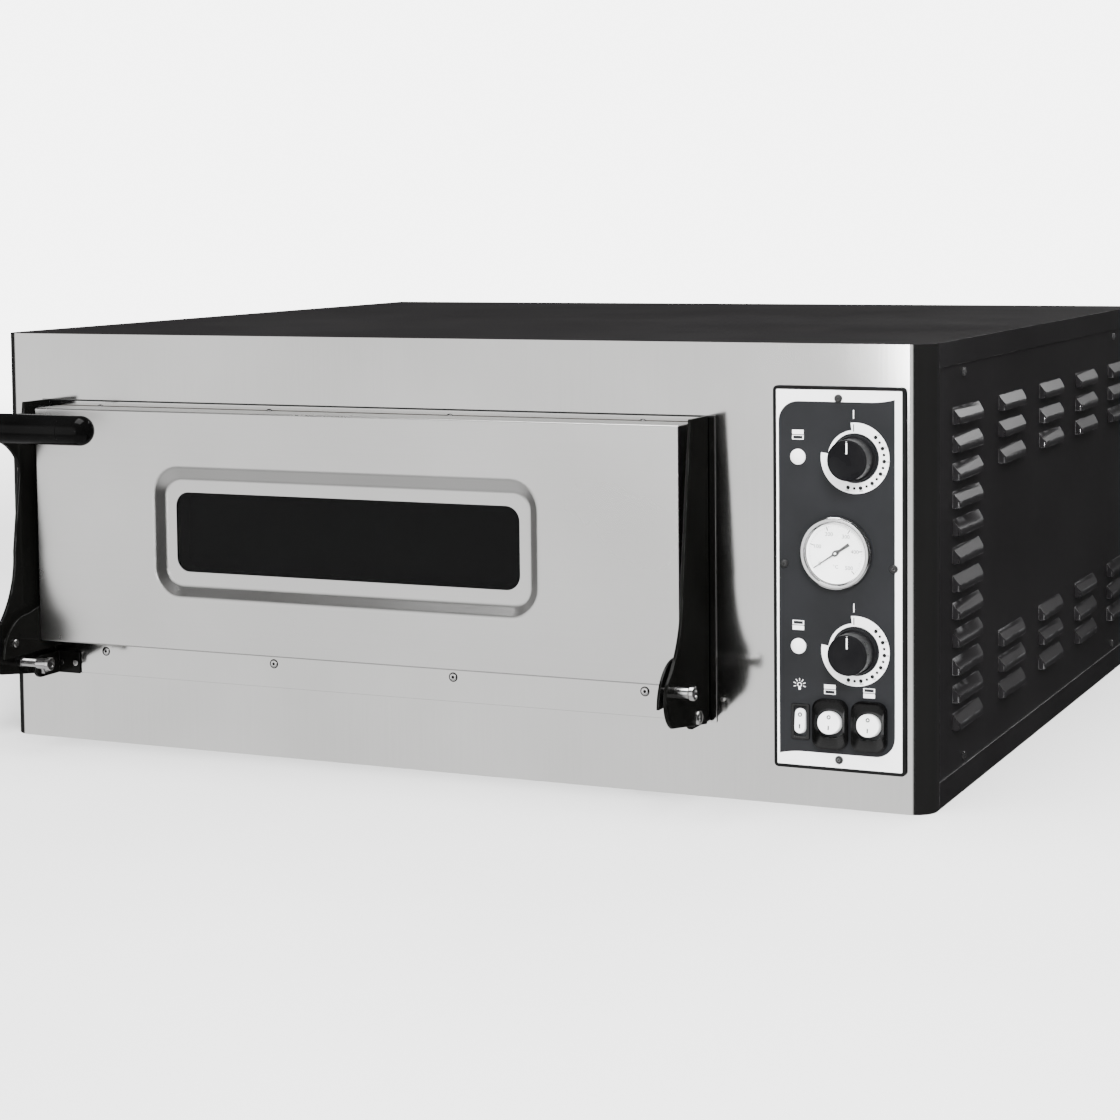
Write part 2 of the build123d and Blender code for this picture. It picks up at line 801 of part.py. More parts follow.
def door_arm(sign, handle_horn):
    """Bent arm plate at one end of the door, with the web that stands against the door's side."""
    plate = span(sign, arm_inner, arm_outer)
    heel = arm_point(heel_out, arm_foot)
    waist = arm_point(waist_out, waist_height)
    toe_top = arm_point(toe_top_out, toe_top_height)
    toe_under = arm_point(toe_under_out, toe_under_height)
    horn_in = arm_top_depth - horn_overlap
    horn_upper = arm_point(grip_out, horn_top)
    horn_tip = arm_point(grip_out + horn_end, horn_top - horn_end)
    horn_lower = arm_point(grip_out, horn_top - 2 * horn_end)
    horn_root = arm_point(horn_root_out, horn_root_height)
    with BuildPart() as arm:
        with BuildSketch(side_plane(plate[0])):
            with BuildLine():
                Polyline(heel, arm_point(arm_back, heel_height), arm_point(arm_back, arm_top),
                         arm_point(arm_top_depth, arm_top), waist)
                ThreePointArc(waist, arm_point(flare_out, flare_height), toe_top)
                ThreePointArc(toe_top, arm_point(toe_out, toe_height), toe_under)
                Line(toe_under, heel)
            make_face()
            if handle_horn:
                with BuildLine():
                    Line(arm_point(horn_in, horn_top), horn_upper)
                    ThreePointArc(horn_upper, horn_tip, horn_lower)
                    ThreePointArc(horn_lower, arm_point(horn_bend_out, horn_bend_height), horn_root)
                    Line(horn_root, arm_point(horn_in, horn_root_height))
                    Line(arm_point(horn_in, horn_root_height), arm_point(horn_in, horn_top))
                make_face()
        extrude(amount=arm_plate)
        web_z = (cheek_top + sheet_gap, door_top)
        block(span(sign, door_half, arm_inner), outward(web_out, web_out + arm_plate), web_z)
        rod_x(plate, pivot_y, pivot_height, pivot_radius, Mode.SUBTRACT)
        rod_x(plate, front - stud_out, stud_height, stud_radius, Mode.SUBTRACT)
        if handle_horn:
            rod_x(plate, front - grip_out, grip_height, grip_bolt_radius, Mode.SUBTRACT)
            rod_x(plate, front - pull_pin_out, pull_pin_height, pull_pin_radius, Mode.SUBTRACT)
    return arm


door_arm_left = door_arm(-1, True)
save(door_arm_left, "door_arm_left")
door_arm_right = door_arm(1, False)
save(door_arm_right, "door_arm_right")

cheek_corner = arm_point(cheek_front_out, cheek_bottom)
cheek_shoulder = arm_point(cheek_front_out - cheek_radius, cheek_bottom + cheek_radius)
with BuildPart() as door_cheeks:
    for sign in (-1, 1):
        cheek = span(sign, door_half, door_half + cheek_sheet)
        with BuildSketch(side_plane(cheek[0])):
            with BuildLine():
                Polyline(cheek_shoulder, arm_point(door_back, cheek_top), arm_point(door_back, cheek_bottom),
                         cheek_corner)
                RadiusArc(cheek_corner, cheek_shoulder, cheek_radius)
            make_face()
        extrude(amount=cheek_sheet)
        rod_x(cheek, front - stud_out, stud_height, stud_radius, Mode.SUBTRACT)
save(door_cheeks, "door_cheeks")

with BuildPart() as door_pivot_bolts:
    for sign in (-1, 1):
        nut_face = ear_inner - ear_clear
        nut = span(sign, nut_face - nut_thickness, nut_face)
        shank = span(sign, nut_face - nut_thickness - thread_tail, arm_outer)
        rod_x(shank, pivot_y, pivot_height, pivot_radius)
        rod_x(span(sign, ear_outer + ear_clear, arm_inner), pivot_y, pivot_height, washer_radius)
        rod_x(span(sign, arm_outer, arm_outer + bolt_head_height), pivot_y, pivot_height, bolt_head_radius)
        with BuildSketch(side_plane(nut[0])):
            with Locations((pivot_y, pivot_height)):
                RegularPolygon(nut_radius, 6)
        extrude(amount=nut_thickness)
save(door_pivot_bolts, "door_pivot_bolts")

grip_y = front - grip_out
stud_y = front - stud_out
stud_end = arm_outer + stud_length
sleeve_end = stud_end - bolt_head_height
with BuildPart() as arm_bolts:
    for sign in (-1, 1):
        rod_x(span(sign, door_half - stud_tail, stud_end), stud_y, stud_height, stud_radius)
        rod_x(span(sign, arm_outer, sleeve_end), stud_y, stud_height, sleeve_radius)
        rod_x(span(sign, sleeve_end, stud_end), stud_y, stud_height, bolt_head_radius)
    rod_x(span(-1, arm_inner - grip_bolt_reach, arm_outer), grip_y, grip_height, grip_bolt_radius)
    rod_x(span(-1, arm_outer, arm_outer + bolt_head_height), grip_y, grip_height, bolt_head_radius)
save(arm_bolts, "arm_bolts")

with BuildPart() as pull_pin:
    pin_y = front - pull_pin_out
    tip = arm_inner - pull_pin_length
    rod_x(span(-1, tip, arm_outer), pin_y, pull_pin_height, pull_pin_radius)
    rod_x(span(-1, tip, tip + bolt_head_height), pin_y, pull_pin_height, bolt_head_radius)
    rod_x(span(-1, tip, tip + pull_sleeve), pin_y, pull_pin_height, sleeve_radius)
    rod_x(span(-1, arm_inner - nut_thickness, arm_inner), pin_y, pull_pin_height, sleeve_radius)
save(pull_pin, "pull_pin")

with BuildPart() as handle_grip:
    rod_x(span(-1, arm_inner - grip_length, arm_inner), grip_y, grip_height, grip_radius)
    fillet(handle_grip.edges().group_by(Axis.X)[-1], grip_radius * end_round_share)
    bore = span(-1, arm_inner - grip_bolt_reach, arm_inner)
    rod_x(bore, grip_y, grip_height, grip_bolt_radius, Mode.SUBTRACT)
save(handle_grip, "handle_grip")

# ==== control fascia ====

with BuildPart() as control_fascia:
    with BuildSketch(front_plane(0)):
        with Locations((fascia_centre, fascia_middle)):
            RectangleRounded(fascia_width, fascia_height, fascia_corner)
    extrude(amount=fascia_thickness)
    cut_control_holes(outward(0, fascia_thickness))
save(control_fascia, "control_fascia")

overlay_width = fascia_width - 2 * overlay_margin
overlay_height = fascia_height - 2 * overlay_margin
with BuildPart() as fascia_overlay:
    with BuildSketch(front_plane(fascia_thickness)):
        with Locations((fascia_centre, fascia_middle)):
            RectangleRounded(overlay_width, overlay_height, fascia_corner)
    extrude(amount=overlay_thickness)
    cut_control_holes(outward(fascia_thickness, overlay_face))
save(fascia_overlay, "fascia_overlay")

screw_levels = around(fascia_middle, fascia_height - 2 * fascia_screw_inset)
screw_sides = around(fascia_centre, fascia_width - 2 * fascia_screw_inset)
fascia_screw_spots = [(fascia_centre, z) for z in screw_levels]
fascia_screw_spots += [(x, fascia_screw_side_z) for x in screw_sides]
fascia_screw_top = overlay_face + fascia_screw_rise
with BuildPart() as fascia_screws:
    for x, z in fascia_screw_spots:
        rod_y(x, outward(overlay_face, fascia_screw_top), z, fascia_screw_radius)
        socket = outward(fascia_screw_top - fascia_socket_depth, fascia_screw_top)
        rod_y(x, socket, z, fascia_socket_radius, Mode.SUBTRACT)
save(fascia_screws, "fascia_screws")

knob_back = overlay_face + knob_gap
knob_top = knob_back + knob_height
for place, z in knob_levels.items():
    with BuildPart() as thermostat:
        block(around(knob_x, thermostat_width), outward(-front_sheet - thermostat_depth, -front_sheet),
              around(z, thermostat_width))
        rod_y(knob_x, outward(-front_sheet, overlay_face), z, boss_radius)
        rod_y(knob_x, outward(overlay_face, knob_top - knob_cap), z, shaft_radius)
    save(thermostat, f"thermostat_{place}")

    with BuildPart() as knob:
        rod_y(knob_x, outward(knob_back, knob_back + knob_skirt), z, knob_radius)
        rod_y(knob_x, outward(knob_back, knob_top), z, knob_face_radius)
        fillet(knob.edges().group_by(Axis.Y)[0], knob_edge)
        shaft_hole = outward(knob_back, knob_top - knob_cap + knob_gap)
        rod_y(knob_x, shaft_hole, z, shaft_radius + shaft_clearance, Mode.SUBTRACT)
    save(knob, f"knob_{place}")

    probe_z = bulb_levels[place]
    with BuildPart() as probe:
        rod_x((chamber_right - probe_length, chamber_right), probe_y, probe_z, probe_radius)
        rear_y = chamber_front + thermostat_depth
        with BuildLine() as route:
            FilletPolyline((knob_x, rear_y, z), (knob_x, probe_y, z), (knob_x, probe_y, probe_z),
                           (chamber_right, probe_y, probe_z), radius=capillary_bend)
        with BuildSketch(Plane(origin=(knob_x, rear_y, z), z_dir=(0, 1, 0))) as bore:
            Circle(capillary_radius)
        sweep(bore.sketch, path=route.wire())
    save(probe, f"thermostat_probe_{place}")

with BuildPart() as pilot_lamps:
    for z in (lamp_upper_z, lamp_lower_z):
        rod_y(lamp_x, outward(overlay_face, overlay_face + lamp_rise), z, lamp_radius)
        rod_y(lamp_x, outward(-lamp_depth, overlay_face), z, lamp_stem_radius)
    fillet(pilot_lamps.edges().group_by(Axis.Y)[0], lamp_rise * lamp_round_share)
save(pilot_lamps, "pilot_lamps")

dial_out = overlay_face + dial_depth
bezel_out = overlay_face + bezel_height
lens_back = bezel_out - gauge_lens
with BuildPart() as thermometer_case:
    rod_y(thermometer_x, outward(-gauge_depth, overlay_face), thermometer_z, thermometer_case_radius)
    rod_y(thermometer_x, outward(overlay_face, bezel_out), thermometer_z, thermometer_radius)
    rod_y(thermometer_x, outward(dial_out, bezel_out), thermometer_z, dial_radius, Mode.SUBTRACT)
save(thermometer_case, "thermometer_case")

with BuildPart() as thermometer_dial:
    rod_y(thermometer_x, outward(dial_out, dial_out + dial_thickness), thermometer_z, dial_radius)
    pin = outward(dial_out + dial_thickness, lens_back - pointer_gap)
    rod_y(thermometer_x, pin, thermometer_z, pointer_pin_radius)
save(thermometer_dial, "thermometer_dial")

with BuildPart() as thermometer_lens:
    rod_y(thermometer_x, outward(lens_back, bezel_out), thermometer_z, dial_radius)
save(thermometer_lens, "thermometer_lens")

pointer_back = dial_out + dial_thickness + pointer_gap
with BuildPart() as thermometer_pointer:
    with BuildSketch(front_plane(pointer_back)):
        with Locations(Location((thermometer_x, thermometer_z), pointer_rest_angle)):
            Circle(pointer_hub_radius)
            with Locations((pointer_reach / 2, 0)):
                Rectangle(pointer_reach, pointer_width)
            with Locations((-pointer_tail / 2, 0)):
                Rectangle(pointer_tail, pointer_tail_width)
            Circle(pointer_pin_radius + shaft_clearance, mode=Mode.SUBTRACT)
    extrude(amount=pointer_thickness)
save(thermometer_pointer, "thermometer_pointer")

pivot_line = front - rocker_pivot_out


def switch_housing(x, surround, rise, barrel_width, pocket):
    """Moulded switch body: rounded surround, body through the panel and a pocket for the rocker."""
    with BuildPart() as housing:
        with BuildSketch(front_plane(overlay_face)):
            with Locations((x, switch_z)):
                RectangleRounded(surround[0], surround[1], surround[2])
        extrude(amount=rise)
        body_y = outward(-switch_depth, overlay_face)
        block(around(x, barrel_width), body_y, around(switch_z, switch_body_height))
        pocket_y = outward(rocker_pivot_out - rocker_depth, overlay_face + rise)
        block(around(x, pocket[0]), pocket_y, around(switch_z, pocket[1]), Mode.SUBTRACT)
        bearing = around(x, pocket[0] + 2 * (trunnion_length + rocker_play))
        rod_x(bearing, pivot_line, switch_z, trunnion_radius + shaft_clearance, Mode.SUBTRACT)
    return housing


def rocker(x, pocket, reach):
    """Rocker that tilts on two trunnions, drawn tipped to its off side."""
    width = pocket[0] - 2 * rocker_play
    height = pocket[1] - 2 * rocker_end_play
    with BuildPart() as lever:
        with Locations(Location((x, pivot_line, switch_z), (-rocker_tilt, 0, 0))):
            with Locations((0, -(reach - rocker_root) / 2, 0)):
                Box(width, reach + rocker_root, height)
        rod_x(around(x, pocket[0] + 2 * trunnion_length), pivot_line, switch_z, trunnion_radius)
    return lever


light_surround = (light_surround_width, light_surround_height, light_surround_radius)
light_pocket = (light_pocket_width, light_pocket_height)
save(switch_housing(light_switch_x, light_surround, light_surround_rise, light_body_width, light_pocket),
     "light_switch_housing")
save(rocker(light_switch_x, light_pocket, light_rocker_reach), "light_rocker")

element_surround = (switch_surround_width, switch_surround_height, switch_surround_radius)
element_pocket = (switch_pocket_width, switch_pocket_height)
for place, x in (("upper", upper_switch_x), ("lower", lower_switch_x)):
    save(switch_housing(x, element_surround, switch_surround_rise, switch_body_width, element_pocket),
         f"{place}_switch_housing")
    save(rocker(x, element_pocket, switch_rocker_reach), f"{place}_rocker")

# ==== supply ====

with BuildPart() as terminal_block:
    with Locations((terminal_x, terminal_y, cover_sheet + terminal_height / 2)):
        Box(terminal_width, terminal_depth, terminal_height)
    with Locations((terminal_x, terminal_y, cover_sheet + terminal_height)):
        with GridLocations(terminal_pitch, 1, terminal_ways, 1):
            Cylinder(terminal_bore, 2 * terminal_bore_depth, mode=Mode.SUBTRACT)
save(terminal_block, "terminal_block")
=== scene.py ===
"""Counter-top pizza oven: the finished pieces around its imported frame.

Every length is in metres in the oven's own frame: X to the right, Y to the back, Z up, with the
origin at the middle of the footprint. A size named "out" runs from the front panel to the user.
"""

from __future__ import annotations

import json
import logging
import math
from dataclasses import dataclass
from enum import Enum
from typing import Any, Callable, Iterable, Sequence

import bmesh
import bpy
from mathutils import Matrix, Vector

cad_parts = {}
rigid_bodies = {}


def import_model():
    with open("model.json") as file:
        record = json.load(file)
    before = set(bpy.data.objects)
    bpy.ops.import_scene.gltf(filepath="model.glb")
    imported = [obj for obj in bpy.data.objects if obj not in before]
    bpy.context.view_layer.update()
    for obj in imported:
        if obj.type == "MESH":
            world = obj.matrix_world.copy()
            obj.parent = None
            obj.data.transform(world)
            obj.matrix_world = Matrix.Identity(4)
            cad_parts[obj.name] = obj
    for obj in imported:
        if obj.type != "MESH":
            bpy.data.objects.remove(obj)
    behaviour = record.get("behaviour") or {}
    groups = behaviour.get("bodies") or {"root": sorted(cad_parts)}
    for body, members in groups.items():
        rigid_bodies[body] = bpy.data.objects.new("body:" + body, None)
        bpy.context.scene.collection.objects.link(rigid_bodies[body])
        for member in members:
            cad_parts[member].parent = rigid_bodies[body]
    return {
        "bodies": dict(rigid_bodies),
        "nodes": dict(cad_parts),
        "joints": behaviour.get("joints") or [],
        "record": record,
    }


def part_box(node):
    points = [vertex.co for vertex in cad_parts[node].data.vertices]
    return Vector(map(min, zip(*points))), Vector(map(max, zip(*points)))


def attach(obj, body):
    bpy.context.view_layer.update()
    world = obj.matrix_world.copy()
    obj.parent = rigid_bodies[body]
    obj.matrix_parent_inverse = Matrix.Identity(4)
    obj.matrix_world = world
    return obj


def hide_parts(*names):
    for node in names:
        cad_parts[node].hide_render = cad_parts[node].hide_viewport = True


LOG = logging.getLogger("pizza_oven")
MM = 0.001
FINE = 96
MEDIUM = 40
COARSE = 20
SAME_POINT = 1e-7

Colour = tuple[float, float, float]
Triple = tuple[float, float, float]
Pair = tuple[float, float]
Socket = bpy.types.NodeSocket


class Body(Enum):
    """Bodies of the frame that a piece can ride on."""

    OVEN = "oven"
    DOOR = "door"
    KNOB_UPPER = "knob_upper"
    KNOB_LOWER = "knob_lower"
    LIGHT_ROCKER = "light_rocker"
    UPPER_ROCKER = "upper_rocker"
    LOWER_ROCKER = "lower_rocker"
    POINTER = "thermometer_pointer"


class Slot(Enum):
    """Material slots of the record."""

    STAINLESS = "stainless"
    BLACK_ENAMEL = "black_enamel"
    BLACK_SHEET = "black_sheet"
    ZINC_SHEET = "zinc_sheet"
    CHAMBER_STEEL = "chamber_steel"
    FIRE_STONE = "fire_stone"
    ELEMENT_TUBE = "element_tube"
    MINERAL_WOOL = "mineral_wool"
    TOUGHENED_GLASS = "toughened_glass"
    SEAL_BRAID = "seal_braid"
    BRIGHT_FASTENER = "bright_fastener"
    BLACK_FASTENER = "black_fastener"
    BLACK_MOULDING = "black_moulding"
    KNOB_PLASTIC = "knob_plastic"
    FASCIA_PRINT = "fascia_print"
    FASCIA_BACKING = "fascia_backing"
    WHITE_PLASTIC = "white_plastic"
    LAMP_LENS = "lamp_lens"
    DIAL_WHITE = "dial_white"
    POINTER_BLACK = "pointer_black"
    LAMP_CERAMIC = "lamp_ceramic"


# ---------------------------------------------------------------- finishes


class ShaderBench:
    """Adds and joins the nodes of one material, group or world."""

    def __init__(self, tree: bpy.types.NodeTree) -> None:
        """Take over a node tree.

        Args:
            tree: the tree that the nodes go into.
        """
        self.tree = tree

    def add(self, kind: str, inputs: dict[str, Any] | None = None, **settings: Any) -> bpy.types.Node:
        """Add one node.

        Args:
            kind: Blender's name of the node type.
            inputs: socket values; a value that is itself a socket is linked instead.
            **settings: properties of the node.

        Returns:
            The new node.
        """
        node = self.tree.nodes.new(kind)
        for name, value in settings.items():
            setattr(node, name, value)
        for name, value in (inputs or {}).items():
            self.feed(node.inputs[name], value)
        return node

    def feed(self, socket: Socket, value: Any) -> None:
        """Give a socket its value, or link it where the value is a socket.

        Args:
            socket: the input.
            value: a number, a colour, a vector or another socket.
        """
        if isinstance(value, Socket):
            self.tree.links.new(value, socket)
        else:
            socket.default_value = value

    def group(self, tree: bpy.types.NodeTree, **inputs: Any) -> bpy.types.Node:
        """Place an effect group.

        Args:
            tree: the group.
            **inputs: values or sockets for the group's inputs, with spaces written as underscores.

        Returns:
            The group node.
        """
        node = self.add("ShaderNodeGroup", node_tree=tree)
        for name, value in inputs.items():
            self.feed(node.inputs[name.replace("_", " ")], value)
        return node

    def mix(self, amount: Any, first: Any, second: Any) -> Socket:
        """Blend two colours.

        Args:
            amount: how far the second colour shows.
            first: colour or socket.
            second: colour or socket.

        Returns:
            The blended colour.
        """
        node = self.add("ShaderNodeMix", {0: amount}, data_type="RGBA")
        for socket, value in ((node.inputs[6], first), (node.inputs[7], second)):
            self.feed(socket, (*value, 1.0) if isinstance(value, tuple) and len(value) == 3 else value)
        return node.outputs[2]

    def blend(self, amount: Any, low: Any, high: Any) -> Socket:
        """Blend two numbers and return the result."""
        return self.add("ShaderNodeMix", {0: amount, 2: low, 3: high}, data_type="FLOAT").outputs[0]

    def ramp(self, value: Socket, low: float, high: float) -> Socket:
        """Stretch a value so that low becomes 0 and high becomes 1, clamped."""
        return self.add("ShaderNodeMapRange", {"Value": value, "From Min": low, "From Max": high}).outputs[0]

    def math(self, operation: str, first: Any, second: Any = 0.0) -> Socket:
        """Join two numbers by an operation and return the result."""
        return self.add("ShaderNodeMath", {0: first, 1: second}, operation=operation).outputs[0]

    def place(self) -> Socket:
        """Return each point's place in the piece's own coordinates."""
        return self.add("ShaderNodeTexCoord").outputs["Object"]

    def noise(self, scale: Any, detail: float, place: Socket | None = None) -> Socket:
        """Lay a cloudy noise over the piece, or over another place, and return its height."""
        at = self.place() if place is None else place
        return self.add("ShaderNodeTexNoise", {"Vector": at, "Scale": scale, "Detail": detail}).outputs[0]


@dataclass(frozen=True)
class EffectGroup:
    """A shader effect that several finishes share, built once as a node group.

    Attributes:
        name: name of the node group.
        inputs: names, socket types and default values of its inputs.
        outputs: names and socket types of its outputs.
        wire: lays the nodes behind the group's input node and returns what goes into its outputs.
    """

    name: str
    inputs: tuple[tuple[str, str, Any], ...]
    outputs: tuple[tuple[str, str], ...]
    wire: Callable[[ShaderBench, bpy.types.Node], tuple[Socket, ...]]

    def tree(self) -> bpy.types.NodeTree:
        """Build the group the first time it is wanted.

        Returns:
            The group.
        """
        made = bpy.data.node_groups.get(self.name)
        if made:
            return made
        tree = bpy.data.node_groups.new(self.name, "ShaderNodeTree")
        for name, kind, value in self.inputs:
            tree.interface.new_socket(name, in_out="INPUT", socket_type=kind).default_value = value
        for name, kind in self.outputs:
            tree.interface.new_socket(name, in_out="OUTPUT", socket_type=kind)
        bench = ShaderBench(tree)
        results = self.wire(bench, bench.add("NodeGroupInput"))
        bench.add("NodeGroupOutput", dict(zip((name for name, _ in self.outputs), results)))
        return tree


def wire_strokes(bench: ShaderBench, given: bpy.types.Node) -> tuple[Socket, ...]:
    """Lay long thin strokes, as a brushing belt or a press leaves them.

    Args:
        bench: where the nodes go.
        given: the group's input node.

    Returns:
        Their height and their tone.
    """
    mapped = bench.add("ShaderNodeMapping", {"Vector": bench.place(), "Scale": given.outputs["Stretch"]})
    strokes = bench.noise(1.0, 3.0, mapped.outputs[0])
    return strokes, bench.ramp(strokes, *STROKE_SPAN)


def wire_mottle(bench: ShaderBench, given: bpy.types.Node) -> tuple[Socket, ...]:
    """Lay broad soft patches over finer cloudiness.

    Args:
        bench: where the nodes go.
        given: the group's input node.

    Returns:
        The patches.
    """
    return (bench.ramp(bench.noise(given.outputs["Scale"], 5.0), *MOTTLE_SPAN),)


def wire_texture(bench: ShaderBench, given: bpy.types.Node) -> tuple[Socket, ...]:
    """Lay the fine even roughness of a sprayed or moulded skin.

    Args:
        bench: where the nodes go.
        given: the group's input node.

    Returns:
        Its height.
    """
    place = bench.place()
    fine = bench.noise(given.outputs["Scale"], 2.0, place)
    cells = bench.add("ShaderNodeTexVoronoi", {"Vector": place, "Scale": given.outputs["Scale"]})
    return (bench.blend(CELL_SHARE, fine, cells.outputs["Distance"]),)


def wire_wear(bench: ShaderBench, given: bpy.types.Node) -> tuple[Socket, ...]:
    """Find the sharp edges and break them up by noise.

    Args:
        bench: where the nodes go.
        given: the group's input node.

    Returns:
        The mask of the rubbed edges.
    """
    softened = bench.add("ShaderNodeBevel", {"Radius": EDGE_REACH}, samples=4)
    flat = bench.add("ShaderNodeNewGeometry").outputs["True Normal"]
    match = bench.add("ShaderNodeVectorMath", {0: softened.outputs[0], 1: flat}, operation="DOT_PRODUCT")
    edge = bench.ramp(match.outputs["Value"], *EDGE_SPAN)
    broken = bench.ramp(bench.noise(given.outputs["Breakup"], 4.0), *BREAKUP_SPAN)
    return (bench.math("MULTIPLY", bench.math("MULTIPLY", edge, broken), given.outputs["Amount"]),)


def wire_dust(bench: ShaderBench, given: bpy.types.Node) -> tuple[Socket, ...]:
    """Find the upward faces, where flour and dust settle in a thin uneven film.

    Args:
        bench: where the nodes go.
        given: the group's input node.

    Returns:
        The mask of the film.
    """
    geometry = bench.add("ShaderNodeNewGeometry")
    up = bench.add("ShaderNodeSeparateXYZ", {"Vector": geometry.outputs["Normal"]})
    level = bench.ramp(up.outputs["Z"], *LEVEL_SPAN)
    uneven = bench.ramp(bench.noise(DUST_PATCHES, 6.0), *DUST_SPAN)
    return (bench.math("MULTIPLY", bench.math("MULTIPLY", level, uneven), given.outputs["Amount"]),)


STROKE_SPAN: Pair = (0.3, 0.7)
MOTTLE_SPAN: Pair = (0.33, 0.67)
BREAKUP_SPAN: Pair = (0.42, 0.62)
EDGE_SPAN: Pair = (0.97, 0.8)
LEVEL_SPAN: Pair = (0.5, 1.0)
DUST_SPAN: Pair = (0.35, 0.75)
DUST_PATCHES = 14.0
CELL_SHARE = 0.4
EDGE_REACH = 0.7 * MM
FLOAT = "NodeSocketFloat"
STROKES = EffectGroup("long_strokes", (("Stretch", "NodeSocketVector", (1.0, 1.0, 1.0)),),
                      (("Height", FLOAT), ("Tone", FLOAT)), wire_strokes)
MOTTLE = EffectGroup("soft_mottle", (("Scale", FLOAT, 8.0),), (("Value", FLOAT),), wire_mottle)
TEXTURE = EffectGroup("sprayed_skin", (("Scale", FLOAT, 900.0),), (("Height", FLOAT),), wire_texture)
WEAR = EffectGroup("edge_wear", (("Breakup", FLOAT, 60.0), ("Amount", FLOAT, 0.5)), (("Mask", FLOAT),), wire_wear)
DUST = EffectGroup("settled_dust", (("Amount", FLOAT, 0.1),), (("Mask", FLOAT),), wire_dust)

FLOUR: Colour = (0.62, 0.58, 0.52)
BARE_STEEL: Colour = (0.55, 0.55, 0.56)
DUSTY_ROUGHNESS = 0.9
COAT_ROUGHNESS = 0.08


@dataclass(frozen=True)
class Finish:
    """One surface finish: its colours, its shine and its feel.

    Attributes:
        name: name of the material.
        slot: slot of the record that it belongs to; not used by this script.
        dark: colour of its darker patches.
        light: colour of its lighter patches.
        metallic: 1 for bare metal, 0 for everything else.
        shine: roughness of its smoothest and of its dullest patches.
        patches: mottled patches to the metre.
        strokes: brushed strokes to the metre along X, Y and Z, or None where it isn't brushed.
        stroke_depth: depth of the strokes.
        stroke_tone: how far the strokes take part in the colour, from 0 to 1.
        grain: sprayed or moulded grains to the metre, or 0 where it has none.
        grain_depth: depth of the grain.
        wear: how far the proud edges are rubbed, from 0 to 1.
        dust: how much dust lies on the upward faces, from 0 to 1.
        coat: weight of a clear coat.
        specular: level of the highlight.
    """

    name: str
    slot: Slot
    dark: Colour
    light: Colour
    metallic: float = 0.0
    shine: Pair = (0.35, 0.5)
    patches: float = 7.0
    strokes: Triple | None = None
    stroke_depth: float = 0.02 * MM
    stroke_tone: float = 0.5
    grain: float = 0.0
    grain_depth: float = 0.03 * MM
    wear: float = 0.0
    dust: float = 0.0
    coat: float = 0.0
    specular: float = 0.5

    def material(self) -> bpy.types.Material:
        """Build the material the first time it is wanted.

        Returns:
            The material.
        """
        made = bpy.data.materials.get(self.name)
        if made:
            return made
        made = bpy.data.materials.new(self.name)
        made.use_nodes = True
        made.node_tree.nodes.clear()
        bench = ShaderBench(made.node_tree)
        output = bench.add("ShaderNodeOutputMaterial")
        bench.feed(output.inputs["Surface"], self.shader(bench).outputs[0])
        return made

    def shader(self, bench: ShaderBench) -> bpy.types.Node:
        """Lay the nodes of the surface.

        Args:
            bench: where the nodes go.

        Returns:
            The Principled node.
        """
        shader = bench.add("ShaderNodeBsdfPrincipled")
        patch = bench.group(MOTTLE.tree(), Scale=self.patches).outputs["Value"]
        tone, height, depth = self.surface(bench, patch)
        colour = bench.mix(tone, self.dark, self.light)
        dull = bench.blend(patch, *self.shine)
        if self.wear:
            rub = bench.group(WEAR.tree(), Amount=self.wear).outputs["Mask"]
            colour = bench.mix(rub, colour, BARE_STEEL)
            bench.feed(shader.inputs["Metallic"], bench.blend(rub, self.metallic, 1.0))
        else:
            shader.inputs["Metallic"].default_value = self.metallic
        if self.dust:
            film = bench.group(DUST.tree(), Amount=self.dust).outputs["Mask"]
            colour = bench.mix(film, colour, FLOUR)
            dull = bench.blend(film, dull, DUSTY_ROUGHNESS)
        bench.feed(shader.inputs["Base Color"], colour)
        bench.feed(shader.inputs["Roughness"], dull)
        if height is not None:
            bump = bench.add("ShaderNodeBump", {"Height": height, "Distance": depth, "Strength": 1.0})
            bench.feed(shader.inputs["Normal"], bump.outputs[0])
        shader.inputs["Coat Weight"].default_value = self.coat
        shader.inputs["Coat Roughness"].default_value = COAT_ROUGHNESS
        shader.inputs["Specular IOR Level"].default_value = self.specular
        return shader

    def surface(self, bench: ShaderBench, patch: Socket) -> tuple[Socket, Socket | None, float]:
        """Lay the pattern of the surface.

        Args:
            bench: where the nodes go.
            patch: the mottled patches.

        Returns:
            The mix of dark and light, the height of the relief or None, and the depth of that relief.
        """
        if self.strokes:
            strokes = bench.group(STROKES.tree(), Stretch=self.strokes)
            tone = bench.blend(self.stroke_tone, patch, strokes.outputs["Tone"])
            return tone, strokes.outputs["Height"], self.stroke_depth
        if self.grain:
            height = bench.group(TEXTURE.tree(), Scale=self.grain).outputs["Height"]
            return patch, height, self.grain_depth
        return patch, None, 0.0


@dataclass(frozen=True)
class StoneFinish(Finish):
    """Cast fire stone: a pale mottled body with grit and pores.

    Attributes:
        grit: grains of grit to the metre.
        pore_span: distances from a grain's middle at which a pore starts and ends.
    """

    grit: float = 420.0
    pore_span: Pair = (0.1, 0.35)

    def surface(self, bench: ShaderBench, patch: Socket) -> tuple[Socket, Socket | None, float]:
        """Lay the grit and pores over the mottle.

        Args:
            bench: where the nodes go.
            patch: the mottled patches.

        Returns:
            The mix of dark and light, the height of the relief and its depth.
        """
        pores = bench.add("ShaderNodeTexVoronoi", {"Vector": bench.place(), "Scale": self.grit})
        pits = bench.ramp(pores.outputs["Distance"], *self.pore_span)
        return bench.math("MULTIPLY", pits, patch), pits, self.grain_depth


